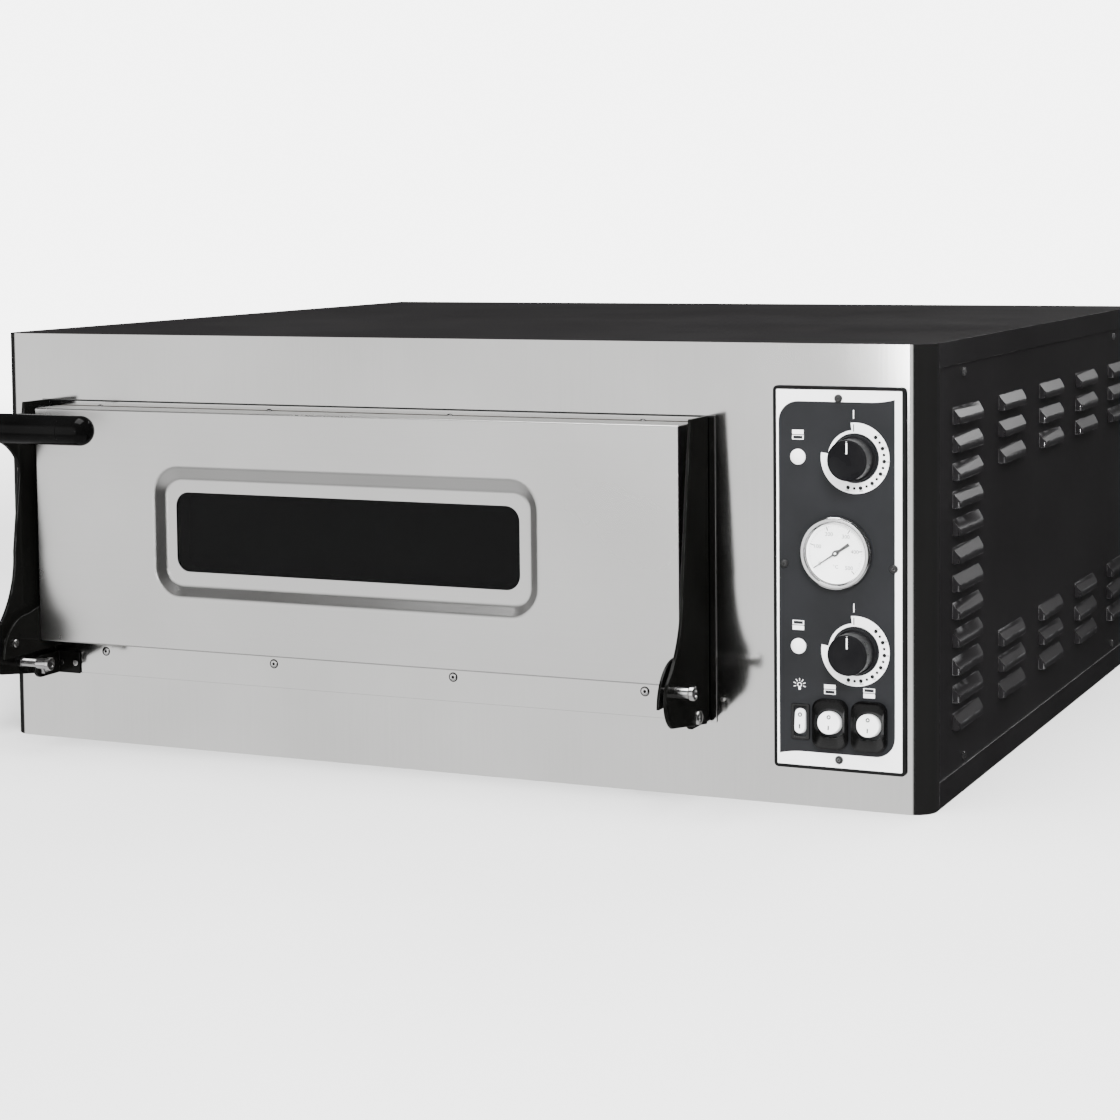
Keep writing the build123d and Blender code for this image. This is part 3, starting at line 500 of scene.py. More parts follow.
@dataclass(frozen=True)
class WovenFinish(Finish):
    """Braided or felted fibre: crossed strands with a soft tangle.

    Attributes:
        strand: strands to the metre.
        tangle: how far the strands wander.
        weave_share: how far the strands take part in the colour, from 0 to 1.
    """

    strand: float = 500.0
    tangle: float = 3.0
    weave_share: float = 0.6

    def surface(self, bench: ShaderBench, patch: Socket) -> tuple[Socket, Socket | None, float]:
        """Lay the crossed strands.

        Args:
            bench: where the nodes go.
            patch: the mottled patches.

        Returns:
            The mix of dark and light, the height of the relief and its depth.
        """
        lay = {"Vector": bench.place(), "Scale": self.strand, "Distortion": self.tangle}
        waves = [bench.add("ShaderNodeTexWave", lay, bands_direction=way).outputs[1] for way in ("X", "Z")]
        weave = bench.math("MAXIMUM", *waves)
        return bench.blend(self.weave_share, patch, weave), weave, self.grain_depth


@dataclass(frozen=True)
class GlassFinish(Finish):
    """Clear or tinted glass with a faint film that varies its roughness.

    Attributes:
        index: its index of refraction.
    """

    index: float = 1.5

    def shader(self, bench: ShaderBench) -> bpy.types.Node:
        """Lay the glass, with plain metallic and transmission.

        Args:
            bench: where the nodes go.

        Returns:
            The Principled node.
        """
        shader = bench.add("ShaderNodeBsdfPrincipled")
        film = bench.group(MOTTLE.tree(), Scale=self.patches).outputs["Value"]
        bench.feed(shader.inputs["Base Color"], bench.mix(film, self.dark, self.light))
        bench.feed(shader.inputs["Roughness"], bench.blend(film, *self.shine))
        shader.inputs["Transmission Weight"].default_value = 1.0
        shader.inputs["IOR"].default_value = self.index
        shader.inputs["Specular IOR Level"].default_value = self.specular
        return shader


BRUSH_UP: Triple = (900.0, 900.0, 9.0)

STAINLESS = Finish("satin_stainless", Slot.STAINLESS, (0.56, 0.555, 0.545), (0.64, 0.635, 0.625), 1.0,
                   (0.09, 0.13), 5.0, BRUSH_UP, 0.005 * MM, 0.15)
DOOR_STAINLESS = Finish("satin_stainless_door", Slot.STAINLESS, (0.57, 0.565, 0.555), (0.65, 0.645, 0.635), 1.0,
                        (0.26, 0.31), 5.0, (9.0, 900.0, 900.0), 0.008 * MM, 0.15)
BLACK_ENAMEL = Finish("gloss_black_enamel", Slot.BLACK_ENAMEL, (0.002, 0.002, 0.0018), (0.004, 0.004, 0.0037), 0.0,
                      (0.1, 0.16), 9.0, grain=260.0, grain_depth=0.004 * MM, wear=0.2, specular=0.07)
BLACK_SHEET = Finish("black_powder_coat", Slot.BLACK_SHEET, (0.006, 0.0055, 0.006), (0.009, 0.0085, 0.009), 0.0,
                     (0.3, 0.34), 6.0, grain=1300.0, grain_depth=0.012 * MM, wear=0.3, dust=0.004, specular=0.18)
ZINC_SHEET = Finish("zinc_plated_sheet", Slot.ZINC_SHEET, (0.42, 0.43, 0.45), (0.6, 0.6, 0.6), 1.0,
                    (0.32, 0.5), 45.0, grain=300.0, grain_depth=0.01 * MM)
CHAMBER_STEEL = Finish("heat_tinted_steel", Slot.CHAMBER_STEEL, (0.2, 0.17, 0.14), (0.42, 0.4, 0.37), 1.0,
                       (0.35, 0.55), 6.0, (12.0, 500.0, 500.0), 0.02 * MM, 0.3)
FIRE_STONE = StoneFinish("cast_fire_stone", Slot.FIRE_STONE, (0.33, 0.27, 0.2), (0.62, 0.55, 0.44), 0.0,
                         (0.85, 0.95), 11.0, grain_depth=0.25 * MM)
ELEMENT_TUBE = Finish("oxidised_element_tube", Slot.ELEMENT_TUBE, (0.07, 0.07, 0.065), (0.16, 0.15, 0.13), 0.7,
                      (0.5, 0.65), 40.0, grain=900.0, grain_depth=0.02 * MM)
MINERAL_WOOL = WovenFinish("mineral_wool", Slot.MINERAL_WOOL, (0.42, 0.34, 0.17), (0.66, 0.57, 0.34), 0.0,
                           (0.95, 1.0), 22.0, grain_depth=1.0 * MM, strand=160.0)
SEAL_BRAID = WovenFinish("glass_braid_seal", Slot.SEAL_BRAID, (0.25, 0.24, 0.22), (0.55, 0.53, 0.49), 0.0,
                         (0.85, 0.95), 30.0, grain_depth=0.5 * MM, strand=320.0)
WINDOW_GLASS = GlassFinish("smoked_window_glass", Slot.TOUGHENED_GLASS, (0.05, 0.052, 0.056), (0.07, 0.073, 0.078),
                           0.0, (0.02, 0.07), 8.0, specular=0.08, index=1.2)
CLEAR_GLASS = GlassFinish("clear_glass", Slot.TOUGHENED_GLASS, (0.96, 0.97, 0.97), (1.0, 1.0, 1.0), 0.0,
                          (0.0, 0.03), 20.0)
BRIGHT_STEEL = Finish("bright_fastener_steel", Slot.BRIGHT_FASTENER, (0.55, 0.55, 0.55), (0.72, 0.71, 0.7), 1.0,
                      (0.16, 0.28), 90.0, grain=1500.0, grain_depth=0.01 * MM)
CHROME = Finish("polished_bezel_steel", Slot.BRIGHT_FASTENER, (0.74, 0.74, 0.74), (0.82, 0.82, 0.82), 1.0,
                (0.08, 0.14), 30.0, grain=1200.0, grain_depth=0.004 * MM)
BLACK_STEEL = Finish("blackened_fastener", Slot.BLACK_FASTENER, (0.012, 0.012, 0.012), (0.03, 0.03, 0.03), 0.4,
                     (0.25, 0.4), 90.0, grain=1500.0, grain_depth=0.02 * MM, wear=0.5)
BLACK_MOULDING = Finish("gloss_black_moulding", Slot.BLACK_MOULDING, (0.0012, 0.0012, 0.0012), (0.0022, 0.0022, 0.0022),
                        0.0, (0.1, 0.16), 25.0, grain=500.0, grain_depth=0.005 * MM, specular=0.07)
SWITCH_MOULDING = Finish("satin_black_moulding", Slot.BLACK_MOULDING, (0.0012, 0.0012, 0.0012),
                         (0.0022, 0.0022, 0.0022), 0.0, (0.2, 0.27), 25.0, grain=500.0, grain_depth=0.005 * MM,
                         specular=0.4)
KNOB_PLASTIC = Finish("satin_knob_plastic", Slot.KNOB_PLASTIC, (0.004, 0.004, 0.0045), (0.007, 0.007, 0.0075), 0.0,
                      (0.26, 0.36), 40.0, grain=1600.0, grain_depth=0.01 * MM, specular=0.025)
PRINT_FIELD = Finish("fascia_dark_print", Slot.FASCIA_PRINT, (0.0085, 0.009, 0.01), (0.0115, 0.012, 0.0135), 0.0,
                     (0.42, 0.5), 20.0, grain=1500.0, grain_depth=0.012 * MM, specular=0.2)
PRINT_WHITE = Finish("fascia_pale_print", Slot.FASCIA_PRINT, (0.88, 0.885, 0.89), (0.93, 0.93, 0.935), 0.0,
                     (0.3, 0.38), 20.0, grain=1500.0, grain_depth=0.01 * MM)
PRINT_INK = Finish("scale_black_ink", Slot.POINTER_BLACK, (0.004, 0.004, 0.004), (0.008, 0.008, 0.008), 0.0,
                   (0.35, 0.45), 60.0, grain=1500.0, grain_depth=0.01 * MM, specular=0.1)
FASCIA_BACKING = Finish("fascia_black_backing", Slot.FASCIA_BACKING, (0.003, 0.003, 0.003), (0.006, 0.006, 0.006),
                        0.0, (0.35, 0.45), 30.0, grain=1100.0, grain_depth=0.02 * MM, specular=0.08)
WHITE_PLASTIC = Finish("white_switch_plastic", Slot.WHITE_PLASTIC, (0.84, 0.85, 0.86), (0.91, 0.91, 0.91), 0.0,
                       (0.25, 0.35), 60.0, grain=1400.0, grain_depth=0.01 * MM)
DIAL_WHITE = Finish("dial_enamel", Slot.DIAL_WHITE, (0.9, 0.9, 0.895), (0.95, 0.95, 0.945), 0.0,
                    (0.4, 0.5), 40.0, grain=1500.0, grain_depth=0.005 * MM)
LAMP_LENS = Finish("milky_lamp_lens", Slot.LAMP_LENS, (0.88, 0.885, 0.89), (0.95, 0.95, 0.95), 0.0,
                   (0.12, 0.2), 60.0, grain=800.0, grain_depth=0.01 * MM, coat=0.4)
PALE_FLOOR = Finish("pale_floor", Slot.WHITE_PLASTIC, (0.8, 0.8, 0.8), (0.83, 0.83, 0.83), 0.0, (0.6, 0.7), 2.0)
LAMP_CERAMIC = Finish("glazed_ceramic", Slot.LAMP_CERAMIC, (0.62, 0.6, 0.56), (0.74, 0.72, 0.68), 0.0,
                      (0.2, 0.35), 30.0, grain=700.0, grain_depth=0.02 * MM, coat=0.3)


# ---------------------------------------------------------------- mesh work


@dataclass(frozen=True)
class Outline:
    """A closed flat outline in its own XY plane, counter-clockwise.

    Attributes:
        points: the points of the outline, in order.
    """

    points: tuple[Vector, ...]

    @classmethod
    def polygon(cls, corners: Sequence[tuple[float, float, float]], steps: int = 8) -> Outline:
        """Make an outline from corners, each rounded by its own radius.

        Args:
            corners: X, Y and radius of each corner.
            steps: segments of each rounded corner.

        Returns:
            The outline.
        """
        bench = bmesh.new()
        verts = [bench.verts.new((x, y, 0)) for x, y, _ in corners]
        bench.faces.new(verts)
        for vert, (_, _, radius) in zip(verts, corners):
            if radius:
                bmesh.ops.bevel(bench, geom=[vert], offset=radius, offset_type="OFFSET", affect="VERTICES",
                                segments=steps, profile=0.5, material=-1, clamp_overlap=True)
        bench.faces.ensure_lookup_table()
        points = tuple(vert.co.copy() for vert in bench.faces[0].verts)
        bench.free()
        return cls(points)

    @classmethod
    def rectangle(cls, width: float, height: float, radius: float = 0.0, centre: Pair = (0, 0),
                  steps: int = 8) -> Outline:
        """Make a rounded rectangle.

        Args:
            width: its size along X.
            height: its size along Y.
            radius: radius of its corners.
            centre: its middle.
            steps: segments of each corner.

        Returns:
            The outline.
        """
        signs = ((-1, -1), (1, -1), (1, 1), (-1, 1))
        corners = [(centre[0] + sx * width / 2, centre[1] + sy * height / 2, radius) for sx, sy in signs]
        return cls.polygon(corners, steps)

    @classmethod
    def arc_band(cls, start: float, end: float, inner: float, outer: float) -> Outline:
        """Make a band between two radii.

        Args:
            start: clock angle in degrees at which it starts.
            end: clock angle in degrees at which it ends.
            inner: its inner radius.
            outer: its outer radius.

        Returns:
            The outline.
        """
        turns = [math.radians(start + (end - start) * i / MEDIUM) for i in range(MEDIUM + 1)]
        rim = [Vector((*clock(outer, a), 0)) for a in turns]
        bore = [Vector((*clock(inner, a), 0)) for a in reversed(turns)]
        return cls(tuple(reversed(rim + bore)))

    @classmethod
    def circle(cls, radius: float, steps: int = COARSE, centre: Pair = (0, 0)) -> Outline:
        """Make a circle of a few steps about a centre."""
        spots = [clock(radius, math.pi / 2 - 2 * math.pi * i / steps) for i in range(steps)]
        return cls(tuple(Vector((centre[0] + x, centre[1] + y, 0)) for x, y in spots))

    def scaled_to(self, width: float, height: float) -> Outline:
        """Return a copy stretched about the origin."""
        return Outline(tuple(Vector((p.x * width, p.y * height, 0)) for p in self.points))


def clock(radius: float, turn: float) -> Pair:
    """Return the point at a radius and a clock angle in radians from the top."""
    return radius * math.sin(turn), radius * math.cos(turn)


def quarter(centre: Pair, wide: float, tall: float, steps: int, first: int = 0) -> list[Pair]:
    """Return a quarter of an ellipse for a profile, from its widest point to its top.

    Args:
        centre: middle of the ellipse.
        wide: its half width.
        tall: its half height.
        steps: segments of the quarter.
        first: the first point to return.

    Returns:
        The points.
    """
    turns = [math.radians(90 * step / steps) for step in range(first, steps + 1)]
    return [(centre[0] + wide * math.cos(a), centre[1] + tall * math.sin(a)) for a in turns]


def facing_front(x: float, out: float, z: float) -> Matrix:
    """Place a part drawn in XY so that it faces the user, its own Z being out from the front panel."""
    return Matrix.Translation((x, Oven.front - out, z)) @ Matrix.Rotation(math.pi / 2, 4, "X")


def facing_side(x: float, y: float, z: float, sign: int) -> Matrix:
    """Place a part drawn in XY so that its own Z runs to the right (1) or to the left (-1)."""
    turn = Matrix.Rotation(sign * math.pi / 2, 4, "Z") @ Matrix.Rotation(math.pi / 2, 4, "X")
    return Matrix.Translation((x, y, z)) @ turn


Edges = list[bmesh.types.BMEdge]


class Workpiece:
    """One mesh on the bench, shaped by operators and then finished as a piece of the oven."""

    def __init__(self) -> None:
        """Clear the bench."""
        self.bm = bmesh.new()

    def loop(self, outline: Outline, height: float) -> Edges:
        """Lay an outline as a loop of edges at a height.

        Args:
            outline: the outline.
            height: its height above the piece's own XY plane.

        Returns:
            The edges of the loop.
        """
        verts = [self.bm.verts.new((p.x, p.y, height)) for p in outline.points]
        count = len(verts)
        return [self.bm.edges.new((verts[i], verts[(i + 1) % count])) for i in range(count)]

    def join(self, *loops: Edges) -> None:
        """Bridge each loop to the next one, which has the same number of points."""
        for first, second in zip(loops, loops[1:]):
            bmesh.ops.bridge_loops(self.bm, edges=first + second)

    def fill(self, *loops: Edges) -> None:
        """Fill a flat region.

        Args:
            *loops: its outer loop, and a second one inside that becomes a hole.
        """
        if len(loops) == 1:
            bmesh.ops.edgeloop_fill(self.bm, edges=loops[0])
            return
        edges = [edge for loop in loops for edge in loop]
        bmesh.ops.triangle_fill(self.bm, use_beauty=True, use_dissolve=False, edges=edges)

    def slab(self, outline: Outline, low: float, high: float, ease: float = 0.0, steps: int = 2,
             hole: Outline | None = None) -> None:
        """Make a flat plate from an outline.

        Args:
            outline: the outline.
            low: height of its underside.
            high: height of its face.
            ease: width by which the edges are eased.
            steps: segments of the eased edges.
            hole: outline of a hole through it, or None.
        """
        loops = [self.loop(outline, low)]
        if hole:
            loops.append(self.loop(hole, low))
            self.fill(*loops)
            faces = self.spread({face for edge in loops[0] + loops[1] for face in edge.link_faces})
        else:
            faces = [self.bm.faces.new([edge.verts[0] for edge in loops[0]])]
        raised = bmesh.ops.extrude_face_region(self.bm, geom=faces, use_keep_orig=True)["geom"]
        verts = [item for item in raised if isinstance(item, bmesh.types.BMVert)]
        bmesh.ops.translate(self.bm, verts=verts, vec=(0, 0, high - low))
        if ease:
            tops = {item for item in raised if isinstance(item, bmesh.types.BMFace)}
            rims = [edge for face in tops for edge in face.edges if sum(f in tops for f in edge.link_faces) == 1]
            self.bevel(list(set(rims)), ease, steps)

    def spread(self, faces: Iterable[bmesh.types.BMFace]) -> list[bmesh.types.BMFace]:
        """Find all faces that hang together.

        Args:
            faces: the faces to start from.

        Returns:
            Those faces and all that are joined to them.
        """
        found = set(faces)
        queue = list(found)
        while queue:
            for edge in queue.pop().edges:
                fresh = set(edge.link_faces) - found
                found |= fresh
                queue += fresh
        return list(found)

    def bevel(self, edges: Edges, width: float, steps: int = 2) -> None:
        """Round the given edges."""
        bmesh.ops.bevel(self.bm, geom=edges, offset=width, offset_type="OFFSET", affect="EDGES", segments=steps,
                        profile=0.5, material=-1, clamp_overlap=True)

    def sharp(self, angle: float) -> Edges:
        """Return the edges that are sharper than an angle in degrees."""
        limit = math.radians(angle)
        return [edge for edge in self.bm.edges if edge.is_manifold and edge.calc_face_angle() > limit]

    def turned(self, profile: Sequence[Pair], steps: int = FINE, at: Pair = (0, 0)) -> None:
        """Turn a profile about the piece's own Z axis.

        Args:
            profile: radius and height of each point, from one end of the axis to the other.
            steps: segments of the full turn.
            at: where the axis stands in the piece's own XY plane.
        """
        turning = Workpiece()
        bench = turning.bm
        verts = [bench.verts.new((radius, 0, height)) for radius, height in profile]
        edges = [bench.edges.new(pair) for pair in zip(verts, verts[1:])]
        bmesh.ops.spin(bench, geom=verts + edges, cent=(0, 0, 0), axis=(0, 0, 1), angle=2 * math.pi, steps=steps,
                       use_merge=True, dvec=(0, 0, 0))
        bmesh.ops.remove_doubles(bench, verts=bench.verts, dist=SAME_POINT)
        bmesh.ops.recalc_face_normals(bench, faces=bench.faces)
        self.take(turning, Matrix.Translation((*at, 0)))

    def rod(self, radius: float, low: float, high: float, steps: int = MEDIUM) -> None:
        """Turn a plain round rod about the piece's own Z axis."""
        self.turned([(0, low), (radius, low), (radius, high), (0, high)], steps)

    def take(self, other: Workpiece, matrix: Matrix | None = None) -> None:
        """Add another piece to this one and clear it.

        Args:
            other: the other piece.
            matrix: its place, or None where it is in place already.
        """
        if matrix is not None:
            other.place(matrix)
        scratch = bpy.data.meshes.new("scratch")
        other.bm.to_mesh(scratch)
        other.bm.free()
        self.bm.from_mesh(scratch)
        bpy.data.meshes.remove(scratch)

    def letter(self, text: str, size: float, x: float, y: float, low: float, high: float) -> None:
        """Raise a short text, centred on a point.

        Args:
            text: digits or signs.
            size: height of the line.
            x: middle of the text along X.
            y: middle of the text along Y.
            low: height of its underside.
            high: height of its face.
        """
        curve = bpy.data.curves.new("lettering", "FONT")
        curve.body = text
        curve.size = size
        curve.align_x = "CENTER"
        curve.align_y = "CENTER"
        curve.resolution_u = 3
        curve.extrude = (high - low) / 2
        carrier = bpy.data.objects.new("lettering", curve)
        mesh = bpy.data.meshes.new_from_object(carrier)
        mesh.transform(Matrix.Translation((x, y, (low + high) / 2)))
        self.bm.from_mesh(mesh)
        bpy.data.objects.remove(carrier)
        bpy.data.curves.remove(curve)
        bpy.data.meshes.remove(mesh)

    def place(self, matrix: Matrix) -> Workpiece:
        """Move the whole piece to its place and return it."""
        bmesh.ops.transform(self.bm, matrix=matrix, verts=self.bm.verts)
        return self

    def finish(self, name: str, body: Body, finish: Finish, replaced: Iterable[str] = (), smooth: float = 38.0,
               outward: bool = True) -> bpy.types.Object:
        """Turn the mesh into a piece that rides on its body.

        Args:
            name: name of the piece.
            body: body that it rides on.
            finish: its surface finish.
            replaced: nodes of the frame that it stands for.
            smooth: angle in degrees under which edges are shaded smooth.
            outward: whether to turn the faces outwards first.

        Returns:
            The finished object.
        """
        if outward:
            bmesh.ops.recalc_face_normals(self.bm, faces=self.bm.faces)
        limit = math.radians(smooth)
        for face in self.bm.faces:
            face.smooth = True
        for edge in self.bm.edges:
            edge.smooth = edge.is_manifold and edge.calc_face_angle() < limit
        mesh = bpy.data.meshes.new(name)
        self.bm.to_mesh(mesh)
        self.bm.free()
        mesh.materials.append(finish.material())
        piece = bpy.data.objects.new(name, mesh)
        bpy.context.scene.collection.objects.link(piece)
        weighted = piece.modifiers.new("even_shading", "WEIGHTED_NORMAL")
        weighted.keep_sharp = True
        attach(piece, body.value)
        if replaced:
            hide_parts(*replaced)
        LOG.info("%s: %d faces on %s", name, len(mesh.polygons), body.value)
        return piece


# ---------------------------------------------------------------- pieces whose frame shape is right


MERGE_REACH = 0.002 * MM
FLAT_ANGLE = 0.6
SHARP_ANGLE = 35.0
FOLD_ANGLE = 60.0


@dataclass(frozen=True)
class Refined:
    """A node whose shape is right: merged, its edges eased and its curves shaded smooth.

    Attributes:
        node: the frame's node.
        finish: its surface finish.
        body: body that it rides on.
        ease: width by which its edges are rounded.
        steps: segments of the rounded edges.
    """

    node: str
    finish: Finish
    body: Body = Body.OVEN
    ease: float = 0.25 * MM
    steps: int = 2

    def build(self) -> None:
        """Make the piece from a merged copy of the node."""
        work = Workpiece()
        work.bm.from_mesh(Oven.nodes[self.node].data)
        bmesh.ops.remove_doubles(work.bm, verts=work.bm.verts, dist=MERGE_REACH)
        bmesh.ops.dissolve_limit(work.bm, angle_limit=math.radians(FLAT_ANGLE), use_dissolve_boundaries=False,
                                 verts=work.bm.verts, edges=work.bm.edges)
        if self.ease:
            work.bevel(work.sharp(SHARP_ANGLE), self.ease, self.steps)
        work.finish(f"{self.node}_piece", self.body, self.finish, [self.node], outward=False)


REFINED = (
    Refined("front_panel", STAINLESS, ease=0.45 * MM),
    Refined("mouth_frame", STAINLESS, ease=0.4 * MM),
    Refined("top_cover", BLACK_SHEET, ease=0.5 * MM),
    Refined("base_tray", BLACK_SHEET, ease=0.4 * MM),
    Refined("rear_panel", BLACK_SHEET),
    Refined("side_panel_left", BLACK_SHEET, ease=0.4 * MM),
    Refined("side_panel_right", BLACK_SHEET, ease=0.4 * MM),
    Refined("cable_gland", BLACK_MOULDING),
    Refined("compartment_wall", ZINC_SHEET, ease=0.0),
    Refined("chamber_liner", CHAMBER_STEEL, ease=0.0),
    Refined("stone_rails", CHAMBER_STEEL, ease=0.0),
    Refined("deck_stones", FIRE_STONE, ease=1.5 * MM, steps=3),
    Refined("upper_elements", ELEMENT_TUBE, ease=0.0),
    Refined("lower_elements", ELEMENT_TUBE, ease=0.0),
    Refined("oven_lamp_holder", LAMP_CERAMIC),
    Refined("oven_lamp_lens", CLEAR_GLASS, ease=0.0),
    Refined("oven_lamp_bulb", CLEAR_GLASS, ease=0.0),
    # The black enamel of the hinge brackets is partly painted reflection: the left flange fills the place where the
    # steel panel mirrors the black arm.
    Refined("hinge_bracket_left", BLACK_ENAMEL, ease=0.5 * MM),
    Refined("hinge_bracket_right", BLACK_ENAMEL, ease=0.5 * MM),
    Refined("hinge_bracket_screws", BRIGHT_STEEL),
    Refined("door_inner_skin", CHAMBER_STEEL, Body.DOOR),
    Refined("door_seal", SEAL_BRAID, Body.DOOR, 1.5 * MM, 3),
    Refined("door_arm_left", BLACK_ENAMEL, Body.DOOR, 0.7 * MM, 3),
    Refined("door_arm_right", BLACK_ENAMEL, Body.DOOR, 0.7 * MM, 3),
    Refined("door_cheeks", BLACK_ENAMEL, Body.DOOR, 0.6 * MM, 3),
    Refined("control_fascia", FASCIA_BACKING, ease=0.5 * MM),
    Refined("thermostat_upper", ZINC_SHEET),
    Refined("thermostat_lower", ZINC_SHEET),
    Refined("thermostat_probe_upper", BRIGHT_STEEL, ease=0.0),
    Refined("thermostat_probe_lower", BRIGHT_STEEL, ease=0.0),
    Refined("terminal_block", WHITE_PLASTIC),
)

PLAIN_NODES: dict[str, Finish] = {
    **{f"insulation_{side}": MINERAL_WOOL for side in ("top", "bottom", "sides", "back")},
    "door_insulation": MINERAL_WOOL,
    "door_outer_glass": WINDOW_GLASS,
    "door_inner_glass": WINDOW_GLASS,
}


# ---------------------------------------------------------------- the oven's overall places


class Oven:
    """Places that the pieces share, read from the frame."""

    front: float = 0.0
    nodes: dict[str, bpy.types.Object] = {}

    @classmethod
    def read(cls, frame: dict[str, Any]) -> None:
        """Take the places from the loaded frame.
        """
        cls.nodes = frame["nodes"]
        cls.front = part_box("front_panel")[0].y

    @classmethod
    def centre(cls, node: str) -> Vector:
        """Return the middle of a node's box."""
        low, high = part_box(node)
        return (low + high) / 2

    @classmethod
    def reach(cls, node: str) -> Pair:
        """Return how far out a node starts and ends."""
        low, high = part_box(node)
        return cls.front - high.y, cls.front - low.y


# ---------------------------------------------------------------- fasteners


class Drive(Enum):
    """Recess of a screw head."""

    CROSS = "cross"
    SOCKET = "socket"


@dataclass(frozen=True)
class ScrewHead:
    """A domed screw head with its recess, drawn with its seat at height 0.

    Attributes:
        radius: radius of the head.
        rise: height of the head.
        drive: kind of recess.
        tool: half the width of the recess.
        depth: depth of the recess.
        web: half the width of a cross recess's arm, as a share of tool.
        taper: how far the recess narrows towards its floor.
        steps: radius and height of the head's rings from top to foot, as shares of radius and rise.
    """

    radius: float
    rise: float
    drive: Drive = Drive.CROSS
    tool: float = 0.9 * MM
    depth: float = 0.8 * MM
    web: float = 0.3
    taper: float = 0.85
    steps: tuple[Pair, ...] = ((0.62, 1.0), (0.88, 0.8), (1.0, 0.4), (1.0, 0.0))

    def recess(self) -> Outline:
        """Draw the recess: a hexagon or a cross.

        Returns:
            Its outline.
        """
        if self.drive is Drive.SOCKET:
            return Outline.circle(self.tool, 6)
        arm, web = self.tool, self.tool * self.web
        points = []
        for c, s in ((1, 0), (0, 1), (-1, 0), (0, -1)):
            points += [Vector((x * c - y * s, x * s + y * c, 0)) for x, y in ((arm, -web), (arm, web), (web, web))]
        return Outline(tuple(points))

    def add_to(self, work: Workpiece, place: Matrix) -> None:
        """Add the head to a piece.

        Args:
            work: the piece.
            place: where its seat goes.
        """
        head = Workpiece()
        rings = [head.loop(Outline.circle(self.radius * wide, COARSE), self.rise * tall) for wide, tall in self.steps]
        edge = head.loop(self.recess(), self.rise)
        head.fill(rings[0], edge)
        well = head.loop(self.recess().scaled_to(self.taper, self.taper), self.rise - self.depth)
        head.join(edge, well)
        head.fill(well)
        head.join(*rings)
        head.fill(rings[-1])
        bmesh.ops.recalc_face_normals(head.bm, faces=head.bm.faces)
        work.take(head, place)


